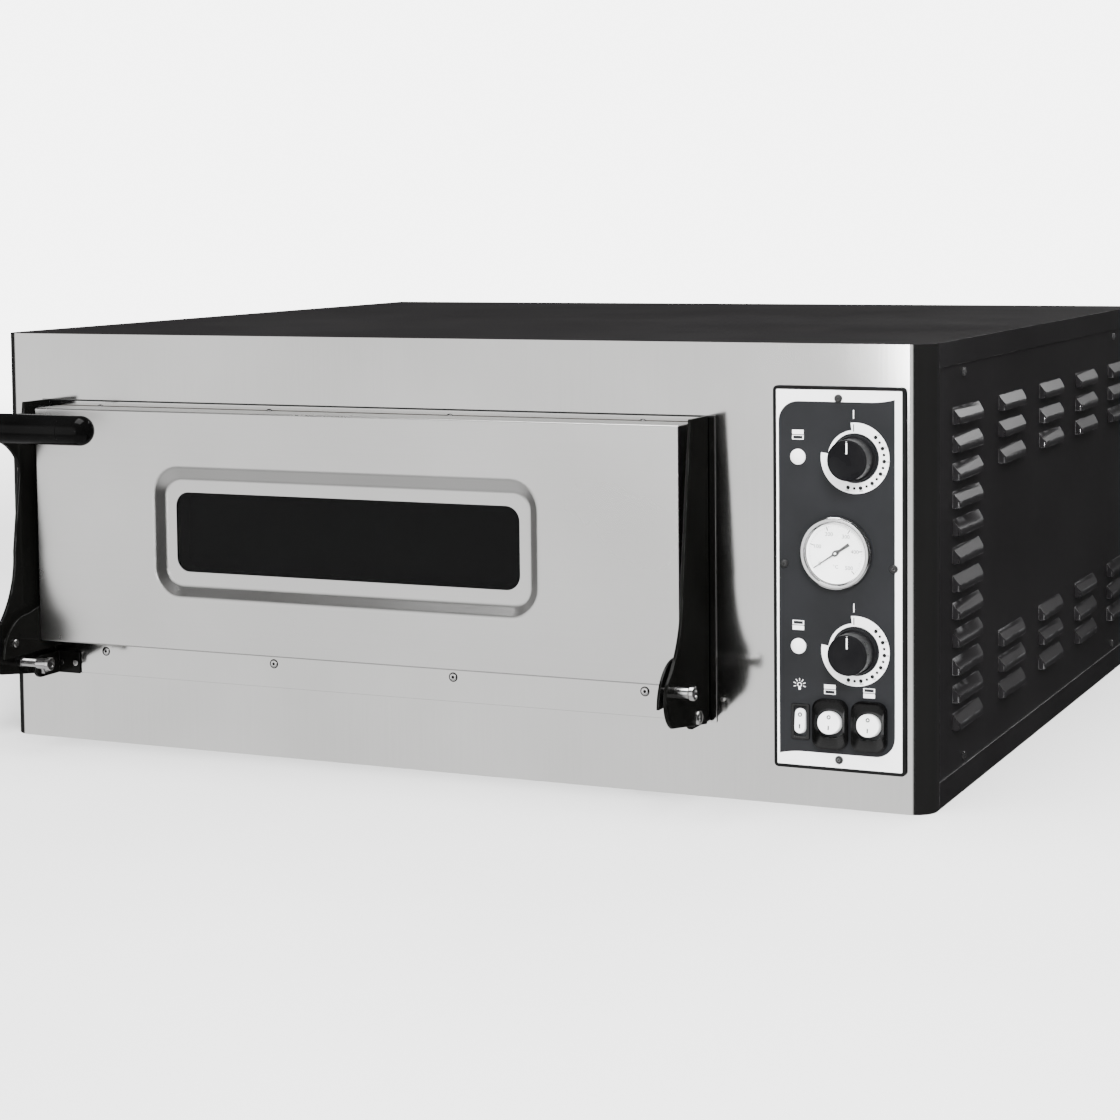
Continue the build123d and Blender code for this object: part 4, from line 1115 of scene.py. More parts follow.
@dataclass
class Fasteners:
    """The visible screws of the casing, mouth frame and fascia, and the painted shadow line over the mouth."""

    casing: ScrewHead = ScrewHead(3.8 * MM, 2.2 * MM)
    mouth: ScrewHead = ScrewHead(3.7 * MM, 0.8 * MM, Drive.SOCKET, 1.7 * MM, 0.6 * MM)
    fascia: ScrewHead = ScrewHead(3.7 * MM, 1.8 * MM, Drive.SOCKET, 1.4 * MM, 1.0 * MM)
    casing_heights: Pair = (32.0 * MM, 383.0 * MM)
    casing_setbacks: Pair = (110.0 * MM, 750.0 * MM)
    rear_inset: float = 30.0 * MM
    mouth_row: tuple[float, ...] = (-294.0 * MM, -98.0 * MM, 98.0 * MM, 294.0 * MM)
    # Painted shade: a dark ring round each mouth-frame screw stands for the shadow in the gap round its head, and a
    # dark disc stands for the shade in its socket.
    mouth_sink: float = 4.6 * MM
    mouth_socket: float = 1.36 * MM
    socket_layer: Pair = (0.22 * MM, 0.3 * MM)
    # Painted shadow: seam is the height of a dark strip along the top of the mouth frame, standing for the shadow under
    # the front panel's edge.
    seam: float = 1.5 * MM
    line_layer: float = 0.15 * MM
    mouth_low: float = 23.5 * MM
    mouth_high: float = 9.0 * MM
    fascia_inset: float = 10.5 * MM
    fascia_side: float = 217.0 * MM

    def build(self) -> None:
        """Make the three groups of screws."""
        self.build_casing()
        self.build_mouth()
        self.build_fascia()

    def build_casing(self) -> None:
        """Make the pan-head screws of the side panels and the rear panel."""
        work = Workpiece()
        low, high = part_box("casing_screws")
        for sign, face in ((1, high.x - self.casing.rise), (-1, low.x + self.casing.rise)):
            for back in self.casing_setbacks:
                for z in self.casing_heights:
                    self.casing.add_to(work, facing_side(face, Oven.front + back, z, sign))
        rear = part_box("rear_panel")[1].y
        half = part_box("front_panel")[1].x - self.rear_inset
        for x in (-half, 0.0, half):
            for z in self.casing_heights:
                self.casing.add_to(work, Matrix.Translation((x, rear, z)) @ Matrix.Rotation(-math.pi / 2, 4, "X"))
        work.finish("casing_screw_heads", Body.OVEN, BLACK_STEEL, ["casing_screws"])

    def build_mouth(self) -> None:
        """Make the low countersunk heads round the mouth frame, with painted shadow rings round them, painted shade in
        their sockets, and a painted shadow line along the top of the frame.
        """
        work, dark = Workpiece(), Workpiece()
        low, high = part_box("mouth_frame")
        seat = Oven.front - low.y
        middle = (low.x + high.x) / 2
        for place in self.mouth_row:
            for z in (low.z + self.mouth_low, high.z - self.mouth_high):
                spot = (middle + place, z)
                self.mouth.add_to(work, Matrix.Translation((*spot, seat)))
                # Painted shade: a dark ring in the gap round the head, and a dark disc on the socket's floor.
                dark.slab(Outline.circle(self.mouth_sink, COARSE, spot), seat, seat + self.line_layer,
                          hole=Outline.circle(self.mouth.radius, COARSE, spot))
                dark.slab(Outline.circle(self.mouth_socket, COARSE, spot), seat + self.socket_layer[0],
                          seat + self.socket_layer[1])
        work.place(facing_front(0, 0, 0))
        work.finish("mouth_frame_screw_heads", Body.OVEN, BRIGHT_STEEL, ["mouth_frame_screws"])
        # Painted shadow: a dark strip along the top of the mouth frame, where the front panel's edge casts its shadow.
        seam = Outline.rectangle(high.x - low.x, self.seam, centre=(middle, high.z - self.seam / 2))
        dark.slab(seam, seat, seat + self.line_layer)
        dark.place(facing_front(0, 0, 0)).finish("mouth_frame_painted_shade", Body.OVEN, PRINT_INK)

    def build_fascia(self) -> None:
        """Make the four black socket screws of the fascia."""
        work = Workpiece()
        low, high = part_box("control_fascia")
        seat = Oven.reach("fascia_overlay")[1]
        middle = (low.x + high.x) / 2
        spots = ((middle, high.z - self.fascia_inset), (middle, low.z + self.fascia_inset),
                 (low.x + self.fascia_inset, self.fascia_side), (high.x - self.fascia_inset, self.fascia_side))
        for spot in spots:
            self.fascia.add_to(work, Matrix.Translation((*spot, seat)))
        work.place(facing_front(0, 0, 0)).finish("fascia_screw_heads", Body.OVEN, BLACK_STEEL, ["fascia_screws"])


# ---------------------------------------------------------------- door


@dataclass
class Door:
    """Pressed stainless door skin, the grip, and the bolts, studs and pull pin of its arms."""

    sheet: float = 1.2 * MM
    window_middle: float = 223.0 * MM
    window_width: float = 413.0 * MM
    window_height: float = 127.0 * MM
    window_radius: float = 28.0 * MM
    flank: float = 11.0 * MM
    depth: float = 7.0 * MM
    band_side: float = 10.5 * MM
    band_top: float = 13.5 * MM
    opening_radius: float = 14.0 * MM
    press_round: float = 2.6 * MM
    edge_round: float = 1.6 * MM
    grip_seam: float = 32.0 * MM
    grip_groove: float = 0.35 * MM
    grip_radius: float = 14.5 * MM
    grip_foot: tuple[Pair, ...] = ((0.9, 0.0), (0.97, 0.6 * MM), (1.0, 1.6 * MM))
    grip_dome: float = 0.9
    head_radius: float = 6.5 * MM
    head_height: float = 4.5 * MM
    head_rim: float = 0.35
    head_ease: float = 0.6 * MM
    dimple: float = 0.8 * MM
    sleeve_radius: float = 5.2 * MM
    neck_radius: float = 4.4 * MM
    washer_radius: float = 9.0 * MM
    washer_reach: Pair = (0.3 * MM, 1.5 * MM)
    pivot_tip: float = 4.4 * MM
    pivot_radius: float = 5.0 * MM
    nut_radius: float = 7.5 * MM
    nut_height: float = 6.0 * MM
    nut_gap: float = 3.3 * MM
    nut_ease: float = 0.5 * MM
    stud_radius: float = 4.0 * MM
    stud_tip: float = 0.4 * MM
    stud_root: float = 3.0 * MM
    stud_length: float = 18.0 * MM
    stud_out: float = 84.0 * MM
    stud_height: float = 111.0 * MM
    neck: float = 1.0 * MM
    grip_bolt: float = 43.0 * MM
    thread_pitch: float = 1.25 * MM
    thread_core: float = 3.5 * MM
    collar: Pair = (3.0 * MM, 9.0 * MM)
    pin_sleeve: float = 16.0 * MM
    stud_dimple: float = 0.55
    pin_dimple: float = 0.5
    dimple_slope: float = 0.05

    def build(self) -> None:
        """Make the pieces of the door."""
        self.build_skin()
        self.build_grip()
        self.build_pivots()
        self.build_studs()
        self.build_pull_pin()

    def build_skin(self) -> None:
        """Press the skin: flat face, tapered recess, flat band round the glass, and returned edges."""
        low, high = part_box("door_outer_skin")
        back, face = Oven.reach("door_outer_skin")
        middle_x, middle_z = (low.x + high.x) / 2, (low.z + high.z) / 2
        centre = (0.0, self.window_middle - middle_z)
        width, height = high.x - low.x, high.z - low.z
        floor_width, floor_height = (size - 2 * self.flank for size in (self.window_width, self.window_height))
        open_width, open_height = floor_width - 2 * self.band_side, floor_height - 2 * self.band_top
        in_width, in_height = width - 2 * self.sheet, height - 2 * self.sheet
        well = face - self.depth
        rings = ((width, height, 0.0, (0, 0), face),
                 (self.window_width, self.window_height, self.window_radius, centre, face),
                 (floor_width, floor_height, self.window_radius - self.flank, centre, well),
                 (open_width, open_height, self.opening_radius, centre, well),
                 (open_width, open_height, self.opening_radius, centre, well - self.sheet),
                 (width, height, 0.0, (0, 0), back), (in_width, in_height, 0.0, (0, 0), back),
                 (in_width, in_height, 0.0, (0, 0), face - self.sheet))
        work = Workpiece()
        rim, lip, foot, opening, behind, hem, turned, inside = (
            work.loop(Outline.rectangle(wide, tall, radius, spot), out) for wide, tall, radius, spot, out in rings)
        work.fill(rim, lip)
        work.join(lip, foot, opening, behind)
        work.join(rim, hem, turned, inside)
        bmesh.ops.recalc_face_normals(work.bm, faces=work.bm.faces)
        work.bevel(lip + foot, self.press_round, 4)
        folds = work.sharp(FOLD_ANGLE)
        outer = [edge for edge in folds if all(vert.co.z > face - self.sheet / 2 for vert in edge.verts)]
        corners = [edge for edge in folds
                   if abs(edge.verts[0].co.z - edge.verts[1].co.z) > (face - back) / 2
                   and abs(edge.verts[0].co.x) > width / 2 - self.sheet / 2]
        work.bevel(outer + corners, self.edge_round, 3)
        work.place(facing_front(middle_x, 0, middle_z))
        work.finish("door_pressed_skin", Body.DOOR, DOOR_STAINLESS, ["door_outer_skin"], outward=False)

    def build_grip(self) -> None:
        """Turn the black grip, with its domed end and the seam of its end cap."""
        low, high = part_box("handle_grip")
        length = high.x - low.x
        radius, groove = self.grip_radius, self.grip_groove
        seam = length - self.grip_seam
        dome = radius * self.grip_dome
        profile = [(0, 0)] + [(radius * share, height) for share, height in self.grip_foot]
        profile += [(radius, seam - groove), (radius - groove, seam), (radius, seam + groove)]
        profile += quarter((radius - dome, length - dome), dome, dome, 12)[:-1] + [(0, length)]
        work = Workpiece()
        work.turned(profile)
        middle = (low + high) / 2
        work.place(facing_side(low.x, middle.y, middle.z, 1))
        work.finish("handle_grip_turned", Body.DOOR, BLACK_MOULDING, ["handle_grip"]).visible_glossy = False

    def domed_head(self, seat: float) -> list[Pair]:
        """Draw a domed bolt head.

        Args:
            seat: height of its seat.

        Returns:
            Its profile, from the seat to the top of its dome.
        """
        rim = seat + self.head_rim * self.head_height
        dome = quarter((0, rim), self.head_radius, (1 - self.head_rim) * self.head_height, 8)
        return [(0, seat), (self.head_radius, seat)] + dome[:-1] + [(0, seat + self.head_height)]

    def ring_head(self, start: float, end: float, socket: float) -> list[Pair]:
        """Draw a flat head with a dimple in its end.

        Args:
            start: where the head starts.
            end: where it ends.
            socket: radius of the dimple as a share of the head's.

        Returns:
            Its profile, from the start to the middle of the dimple.
        """
        ring, ease = self.head_radius, self.head_ease
        return [(ring - ease, start), (ring, start + ease), (ring, end - ease), (ring - ease, end),
                (ring * socket, end), (ring * (socket - self.dimple_slope), end - self.dimple), (0, end - self.dimple)]

    def build_pivots(self) -> None:
        """Make the two pivot bolts, each with its shank, washer, nut and domed head."""
        low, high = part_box("door_pivot_bolts")
        work = Workpiece()
        middle = (low + high) / 2
        ears = {-1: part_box("hinge_bracket_left"), 1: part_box("hinge_bracket_right")}
        for sign, end in ((1, high.x), (-1, low.x)):
            head = abs(end - middle.x) - self.head_height
            ear = max(abs(corner.x - middle.x) for corner in ears[sign])
            nut_end = ear - self.nut_gap
            tip = nut_end - self.nut_height - self.neck
            ease = self.pivot_radius - self.pivot_tip
            bolt = Workpiece()
            bolt.turned(self.domed_head(head), MEDIUM)
            bolt.rod(self.washer_radius, ear + self.washer_reach[0], ear + self.washer_reach[1])
            bolt.turned([(0, tip), (self.pivot_tip, tip), (self.pivot_radius, tip + ease), (self.pivot_radius, head),
                         (0, head)], MEDIUM)
            bolt.slab(Outline.circle(self.nut_radius, 6), nut_end - self.nut_height, nut_end, self.nut_ease)
            work.take(bolt, facing_side(middle.x, middle.y, middle.z, sign))
        work.finish("door_pivot_bolt_set", Body.DOOR, BRIGHT_STEEL, ["door_pivot_bolts"])

    def stud(self, start: float, arm: float, end: float) -> Workpiece:
        """Make one stud with its sleeve and ring head, along its own Z axis.

        Args:
            start: inner end of the stud.
            arm: outer face of the arm, where the sleeve starts.
            end: outer end of the ring head.

        Returns:
            The stud.
        """
        work = Workpiece()
        head = end - self.head_height
        wide, tip = self.stud_radius, self.stud_tip
        work.turned([(0, start), (wide - tip, start), (wide, start + self.nut_ease), (wide, arm), (0, arm)], MEDIUM)
        sleeve = [(0, arm), (self.sleeve_radius, arm), (self.sleeve_radius, head - self.neck),
                  (self.neck_radius, head - self.neck), (self.neck_radius, head)]
        work.turned(sleeve + self.ring_head(head, end, self.stud_dimple), MEDIUM)
        return work

    def build_studs(self) -> None:
        """Make the stops at the toe of each arm and the bolt that holds the grip."""
        left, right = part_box("door_arm_left")[0].x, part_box("door_arm_right")[1].x
        middle = Oven.centre("door_outer_skin").x
        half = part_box("door_outer_skin")[1].x - middle
        work = Workpiece()
        for sign, arm in ((1, right), (-1, left)):
            outer = abs(arm - middle)
            stud = self.stud(half - self.stud_root, outer, outer + self.stud_length)
            work.take(stud, facing_side(middle, Oven.front - self.stud_out, self.stud_height, sign))
        grip = Oven.centre("handle_grip")
        outer = abs(left - middle)
        bolt = Workpiece()
        bolt.turned(self.domed_head(outer), MEDIUM)
        bolt.rod(self.stud_radius, outer - self.grip_bolt, outer)
        work.take(bolt, facing_side(middle, grip.y, grip.z, -1))
        work.finish("arm_bolt_set", Body.DOOR, BRIGHT_STEEL, ["arm_bolts"])

    def build_pull_pin(self) -> None:
        """Make the threaded pull pin that crosses behind the left arm, with its sleeve and ring."""
        low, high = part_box("pull_pin")
        length = high.x - low.x
        core, crest, sleeve = self.thread_core, self.stud_radius, self.sleeve_radius
        collar, height = self.collar
        profile = [(0, 0), (crest, 0), (crest, collar), (sleeve, collar), (sleeve, height), (core, height)]
        while height < length - self.pin_sleeve - self.neck:
            profile += [(crest, height + self.thread_pitch / 2), (core, height + self.thread_pitch)]
            height += self.thread_pitch
        start = length - self.pin_sleeve
        head = length - self.head_height
        profile += [(core, start), (sleeve, start), (sleeve, head - self.dimple),
                    (self.neck_radius, head - self.dimple), (self.neck_radius, head)]
        work = Workpiece()
        work.turned(profile + self.ring_head(head, length, self.pin_dimple), MEDIUM)
        middle = (low + high) / 2
        work.place(facing_side(low.x, middle.y, middle.z, 1))
        work.finish("pull_pin_threaded", Body.DOOR, BRIGHT_STEEL, ["pull_pin"])


# ---------------------------------------------------------------- control panel


@dataclass
class FasciaPrint:
    """Pale plate with its dark field, dial scales, ticks and symbols."""

    plate_corner: float = 1.0 * MM
    plate_ease: float = 0.1 * MM
    margin_left: float = 2.2 * MM
    margin_right: float = 6.4 * MM
    margin_top: float = 10.3 * MM
    margin_bottom: float = 12.4 * MM
    round_corner: float = 18.0 * MM
    flick: float = 2.8 * MM
    flick_run: float = 12.0 * MM
    flick_round: float = 9.0 * MM
    layer: float = 0.06 * MM
    scale_outer: float = 31.3 * MM
    scale_inner: float = 22.0 * MM
    scale_tail: float = 24.7 * MM
    scale_start: float = -7.0
    scale_end: float = 278.0
    dot_first: float = 45.0
    dot_step: float = 12.4
    dots: int = 13
    dot_sizes: Pair = (1.75 * MM, 1.25 * MM)
    dot_radius: float = 26.6 * MM
    digit_first: int = 150
    digit_step: int = 50
    digit_size: float = 2.5 * MM
    digit_radius: float = 29.3 * MM
    tick: Pair = (0.9 * MM, 7.6 * MM)
    tick_place: Pair = (-1.2 * MM, 38.5 * MM)
    zero_tick: Pair = (0.9 * MM, 6.4 * MM)
    zero_place: Pair = (-1.2 * MM, 26.6 * MM)
    heat_upper: tuple[Pair, ...] = ((367.6 * MM, 332.4 * MM), (396.6 * MM, 107.0 * MM))
    heat_lower: tuple[Pair, ...] = ((367.4 * MM, 162.8 * MM), (432.6 * MM, 106.0 * MM))
    heat_bar: Pair = (10.6 * MM, 3.9 * MM)
    heat_hole: Pair = (8.6 * MM, 2.7 * MM)
    heat_offset: float = 2.35 * MM
    bulb: Pair = (368.4 * MM, 109.5 * MM)
    bulb_radii: Pair = (2.1 * MM, 1.5 * MM)
    bulb_foot: tuple[float, float, float] = (2.2 * MM, 2.6 * MM, 0.6 * MM)
    bulb_foot_drop: float = 3.3 * MM
    ray: Pair = (0.55 * MM, 2.4 * MM)
    ray_reach: float = 4.6 * MM
    ray_step: float = 36.0

    def build(self) -> None:
        """Make the plate and the layers printed on it."""
        low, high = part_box("fascia_overlay")
        back, face = Oven.reach("fascia_overlay")
        middle = (low + high) / 2
        plate = Workpiece()
        plate.slab(Outline.rectangle(high.x - low.x, high.z - low.z, self.plate_corner), back, face,
                   self.plate_ease, 1)
        plate.place(facing_front(middle.x, 0, middle.z))
        plate.finish("fascia_plate", Body.OVEN, PRINT_WHITE, ["fascia_overlay"])
        left, right = low.x + self.margin_left, high.x - self.margin_right
        bottom, top = low.z + self.margin_bottom, high.z - self.margin_top
        corners = [(left, bottom - self.flick, 0), (left + self.flick_run, bottom, self.flick_round),
                   (right, bottom, self.round_corner), (right, top + self.flick, 0),
                   (right - self.flick_run, top, self.flick_round), (left, top, self.round_corner)]
        skin = face + self.layer
        dark, white, ink = Workpiece(), Workpiece(), Workpiece()
        dark.slab(Outline.polygon(corners, 10), face, skin)
        for knob in ("knob_upper", "knob_lower"):
            self.add_scale(white, ink, Oven.centre(knob), skin)
        self.add_symbols(white, skin)
        layers = ((dark, "fascia_dark_field", PRINT_FIELD), (white, "fascia_white_print", PRINT_WHITE),
                  (ink, "fascia_scale_ink", PRINT_INK))
        for piece, name, finish in layers:
            piece.place(facing_front(0, 0, 0)).finish(name, Body.OVEN, finish)

    def add_scale(self, white: Workpiece, ink: Workpiece, centre: Vector, face: float) -> None:
        """Add the ring of one dial, its dots and digits, and the tick above it.

        Args:
            white: piece that the pale print joins.
            ink: piece that the dark print joins.
            centre: middle of the dial.
            face: how far out the dark field is.
        """
        place = Matrix.Translation((centre.x, centre.z, 0))
        skin, top = face + self.layer, face + 2 * self.layer
        ring, marks = Workpiece(), Workpiece()
        for start, end, outer in ((self.scale_start, self.scale_end, self.scale_outer),
                                  (self.scale_end, self.scale_start + 360, self.scale_tail)):
            ring.slab(Outline.arc_band(start, end, self.scale_inner, outer), face, skin)
        ring.slab(Outline.rectangle(*self.tick, centre=self.tick_place), face, skin)
        white.take(ring, place)
        for index in range(self.dots):
            turn = math.radians(self.dot_first + index * self.dot_step)
            marks.slab(Outline.circle(self.dot_sizes[index % 2], 14, clock(self.dot_radius, turn)), skin, top)
            if index % 2 == 0:
                value = self.digit_first + self.digit_step * (index // 2)
                marks.letter(str(value), self.digit_size, *clock(self.digit_radius, turn), skin, top)
        marks.slab(Outline.rectangle(*self.zero_tick, centre=self.zero_place), skin, top)
        ink.take(marks, place)

    def add_symbols(self, white: Workpiece, face: float) -> None:
        """Add the heat symbols and the lamp symbol.

        Args:
            white: piece that the print joins.
            face: how far out the dark field is.
        """
        high = face + self.layer
        for filled, spots in ((1, self.heat_upper), (-1, self.heat_lower)):
            for x, z in spots:
                for sign in (1, -1):
                    centre = (x, z + sign * self.heat_offset)
                    hole = None if sign == filled else Outline.rectangle(*self.heat_hole, centre=centre)
                    white.slab(Outline.rectangle(*self.heat_bar, centre=centre), face, high, hole=hole)
        x, z = self.bulb
        outer, inner = (Outline.circle(radius, COARSE, self.bulb) for radius in self.bulb_radii)
        white.slab(outer, face, high, hole=inner)
        white.slab(Outline.rectangle(*self.bulb_foot, (x, z - self.bulb_foot_drop)), face, high)
        for step in range(-3, 4):
            ray = Workpiece()
            ray.slab(Outline.rectangle(*self.ray, centre=(0, self.ray_reach)), face, high)
            turn = Matrix.Rotation(math.radians(step * self.ray_step), 4, "Z")
            white.take(ray, Matrix.Translation((x, z, 0)) @ turn)


@dataclass
class ControlKnob:
    """Turned thermostat knob with a skirt, a dished face and a white pointer line."""

    node: str
    body: Body
    skirt_radius: float = 20.0 * MM
    face_radius: float = 18.0 * MM
    skirt: float = 4.0 * MM
    edge: float = 1.4 * MM
    hollow: Pair = (2.2 * MM, 1.2 * MM)
    foot: float = 1.6 * MM
    ease: Pair = (0.3 * MM, 0.4 * MM)
    bead: Pair = (0.5 * MM, 0.8 * MM)
    cove: Pair = (0.7 * MM, 0.6 * MM)
    touch: float = 0.1 * MM
    dish: Pair = (2.7 * MM, 0.35 * MM)
    line: tuple[float, float, float] = (1.3 * MM, 11.2 * MM, 0.3 * MM)
    line_inset: float = 6.6 * MM
    line_layer: Pair = (0.5 * MM, 0.02 * MM)

    def build(self) -> None:
        """Make the knob and its pointer line."""
        back, top = Oven.reach(self.node)
        centre = Oven.centre(self.node)
        place = facing_front(centre.x, back, centre.z)
        height = top - back
        skirt, face, wall = self.skirt_radius, self.face_radius, self.skirt
        inset, depth = self.hollow
        profile = [(0, depth), (skirt - inset, depth), (skirt - self.foot, 0), (skirt - self.ease[0], 0),
                   (skirt, self.ease[1]), (skirt, wall - self.bead[1]), (skirt - self.bead[0], wall - self.touch),
                   (face + self.cove[0], wall), (face + self.touch, wall + self.cove[1])]
        profile += quarter((face - self.edge, height - self.edge), self.edge, self.edge, 6)
        profile += [(face - inset, height), (face - self.dish[0], height - self.dish[1]), (0, height - self.dish[1])]
        work = Workpiece()
        work.turned(profile)
        work.place(place).finish(f"{self.node}_turned", self.body, KNOB_PLASTIC, [self.node])
        line = Workpiece()
        line.slab(Outline.rectangle(*self.line, (0, face - self.line_inset)), height - self.line_layer[0],
                  height - self.line_layer[1])
        line.place(place).finish(f"{self.node}_line", self.body, WHITE_PLASTIC)


@dataclass
class Thermometer:
    """Chamber thermometer: bright bezel, white dial with its scale, lens and balanced pointer."""

    bezel_radius: float = 32.5 * MM
    dial_radius: float = 28.2 * MM
    case_radius: float = 27.5 * MM
    sleeve: Pair = (0.6 * MM, 0.1 * MM)
    chrome_depth: float = 2.6 * MM
    round_over: float = 2.2 * MM
    chamfer: float = 0.4 * MM
    dial_sheet: float = 0.5 * MM
    gap: float = 0.1 * MM
    hub: tuple[float, float, float] = (1.0 * MM, 2.0 * MM, 1.8 * MM)
    lens_ease: Pair = (0.6 * MM, 0.3 * MM)
    start: float = 236.0
    step: float = 52.0
    hundreds: int = 6
    tick_radius: float = 24.6 * MM
    tick_long: Pair = (0.8 * MM, 3.6 * MM)
    tick_middle: Pair = (0.24 * MM, 2.1 * MM)
    tick_short: Pair = (0.24 * MM, 1.2 * MM)
    digit_size: float = 4.9 * MM
    digit_radius: float = 17.6 * MM
    unit_size: float = 4.6 * MM
    unit_drop: float = 12.0 * MM
    ring: Pair = (0.2 * MM, 1.1 * MM)
    layer: float = 0.06 * MM
    needle: tuple[tuple[float, float, float], ...] = (
        (-15, -1.5, 0.3), (-4, -1.1, 0), (-2.2, -2.2, 0.6), (2.2, -2.2, 0.6), (3.4, -0.75, 0), (24, -0.2, 0),
        (24, 0.2, 0), (3.4, 0.75, 0), (2.2, 2.2, 0.6), (-2.2, 2.2, 0.6), (-4, 1.1, 0), (-15, 1.5, 0.3))
    needle_ease: float = 0.15 * MM
    boss: Pair = (2.6 * MM, 2.3 * MM)

    def build(self) -> None:
        """Make the pieces of the thermometer."""
        centre = Oven.centre("thermometer_dial")
        back, front = Oven.reach("thermometer_case")
        face = Oven.reach("thermometer_dial")[0] + self.dial_sheet
        seat = Oven.reach("fascia_overlay")[1]
        place = facing_front(centre.x, 0, centre.z)
        rim, bore, over = self.bezel_radius, self.dial_radius, self.round_over
        wall, outer = rim - self.sleeve[0], rim - self.sleeve[1]
        step = front - self.chrome_depth
        under = face - self.dial_sheet
        case = Workpiece()
        profile = [(0, back), (self.case_radius, back), (self.case_radius, seat), (wall, seat), (wall, step),
                   (outer, step), (rim, front - over)]
        profile += quarter((rim - over, front - over), over, over, 7, 1)
        profile += [(bore + self.chamfer, front), (bore, front - self.chamfer), (bore, under), (0, under)]
        case.turned(profile)
        case.place(place).finish("thermometer_bezel", Body.OVEN, CHROME, ["thermometer_case"])
        # Painted shade: a black sleeve shows on the lower flank of the bezel and stands for the shadow there.
        sleeve = Workpiece()
        sleeve.slab(Outline.circle(outer, FINE), seat, step, hole=Outline.circle(wall, FINE))
        sleeve.place(place).finish("thermometer_shadow_sleeve", Body.OVEN, BLACK_STEEL)
        dial = Workpiece()
        dial.rod(bore - self.gap, under, face, FINE)
        hub, shoulder, tip = self.hub
        dial.turned([(0, face), (hub, face), (hub, front - shoulder), (0, front - tip)], COARSE)
        dial.place(place).finish("thermometer_face", Body.OVEN, DIAL_WHITE, ["thermometer_dial"])
        self.scale(face).place(place).finish("thermometer_scale", Body.OVEN, PRINT_INK)
        lens = Workpiece()
        low, high = Oven.reach("thermometer_lens")
        lens.turned([(0, low), (bore - self.gap, low), (bore - self.gap, high - self.lens_ease[1]),
                     (bore - self.lens_ease[0], high), (0, high)])
        glass = lens.place(place).finish("thermometer_glass", Body.OVEN, CLEAR_GLASS, ["thermometer_lens"])
        glass.visible_shadow = False
        self.pointer(place)

    def scale(self, face: float) -> Workpiece:
        """Print the ticks, digits and unit of the dial, and lay a painted shadow ring round its edge under the bezel.

        Args:
            face: how far out the dial is.

        Returns:
            The print.
        """
        work = Workpiece()
        high = face + self.layer
        for index in range((self.hundreds - 1) * 10 + 1):
            turn = math.radians(self.start + index * self.step / 10)
            width, length = (self.tick_long if index % 10 == 0 else
                             self.tick_middle if index % 5 == 0 else self.tick_short)
            tick = Workpiece()
            tick.slab(Outline.rectangle(width, length, centre=(0, self.tick_radius - length / 2)), face, high)
            work.take(tick, Matrix.Rotation(-turn, 4, "Z"))
        for index in range(self.hundreds):
            turn = math.radians(self.start + index * self.step)
            work.letter(str(index * 100), self.digit_size, *clock(self.digit_radius, turn), face, high)
        work.letter("°C", self.unit_size, 0, -self.unit_drop, face, high)
        # Painted shadow: a dark ring on the dial's edge stands for the shade in the gap under the bezel.
        outer, inner = (Outline.circle(self.dial_radius - inset, FINE) for inset in self.ring)
        work.slab(outer, face, high, hole=inner)
        return work

    def pointer(self, place: Matrix) -> None:
        """Make the pointer: a fine needle, a hub and a broad tail.

        Args:
            place: where the dial is.
        """
        low, high = Oven.reach("thermometer_pointer")
        work = Workpiece()
        corners = [(x * MM, y * MM, radius * MM) for x, y, radius in self.needle]
        work.slab(Outline.polygon(corners, 4), low + self.gap, high - self.gap, self.needle_ease, 1)
        wide, narrow = self.boss
        work.turned([(0, low), (wide, low), (wide, high - 2 * self.gap), (narrow, high), (0, high)], COARSE)
        turn = Matrix.Rotation(math.radians(90 - self.start), 4, "Z")
        work.place(place @ turn).finish("thermometer_needle", Body.POINTER, PRINT_INK, ["thermometer_pointer"])


@dataclass(frozen=True)
class Surround:
    """Shape of a rocker switch's moulded surround.

    Attributes:
        inset: how far its face stands in from its wall.
        dish: depth of the dish round the pocket.
        drop: depth at which the pocket starts.
        corner: largest radius of the pocket's corners.
        gap: how much less than a half circle the rocker's ends are.
        steps: segments of the rocker's corners.
    """

    inset: float
    dish: float
    drop: float
    corner: float
    gap: float
    steps: int


PLAIN = Surround(0.5 * MM, 0.2 * MM, 0.4 * MM, 1.0 * MM, 0.2 * MM, 6)
DISHED = Surround(1.8 * MM, 2.2 * MM, 3.0 * MM, 8.0 * MM, 0.3 * MM, 10)


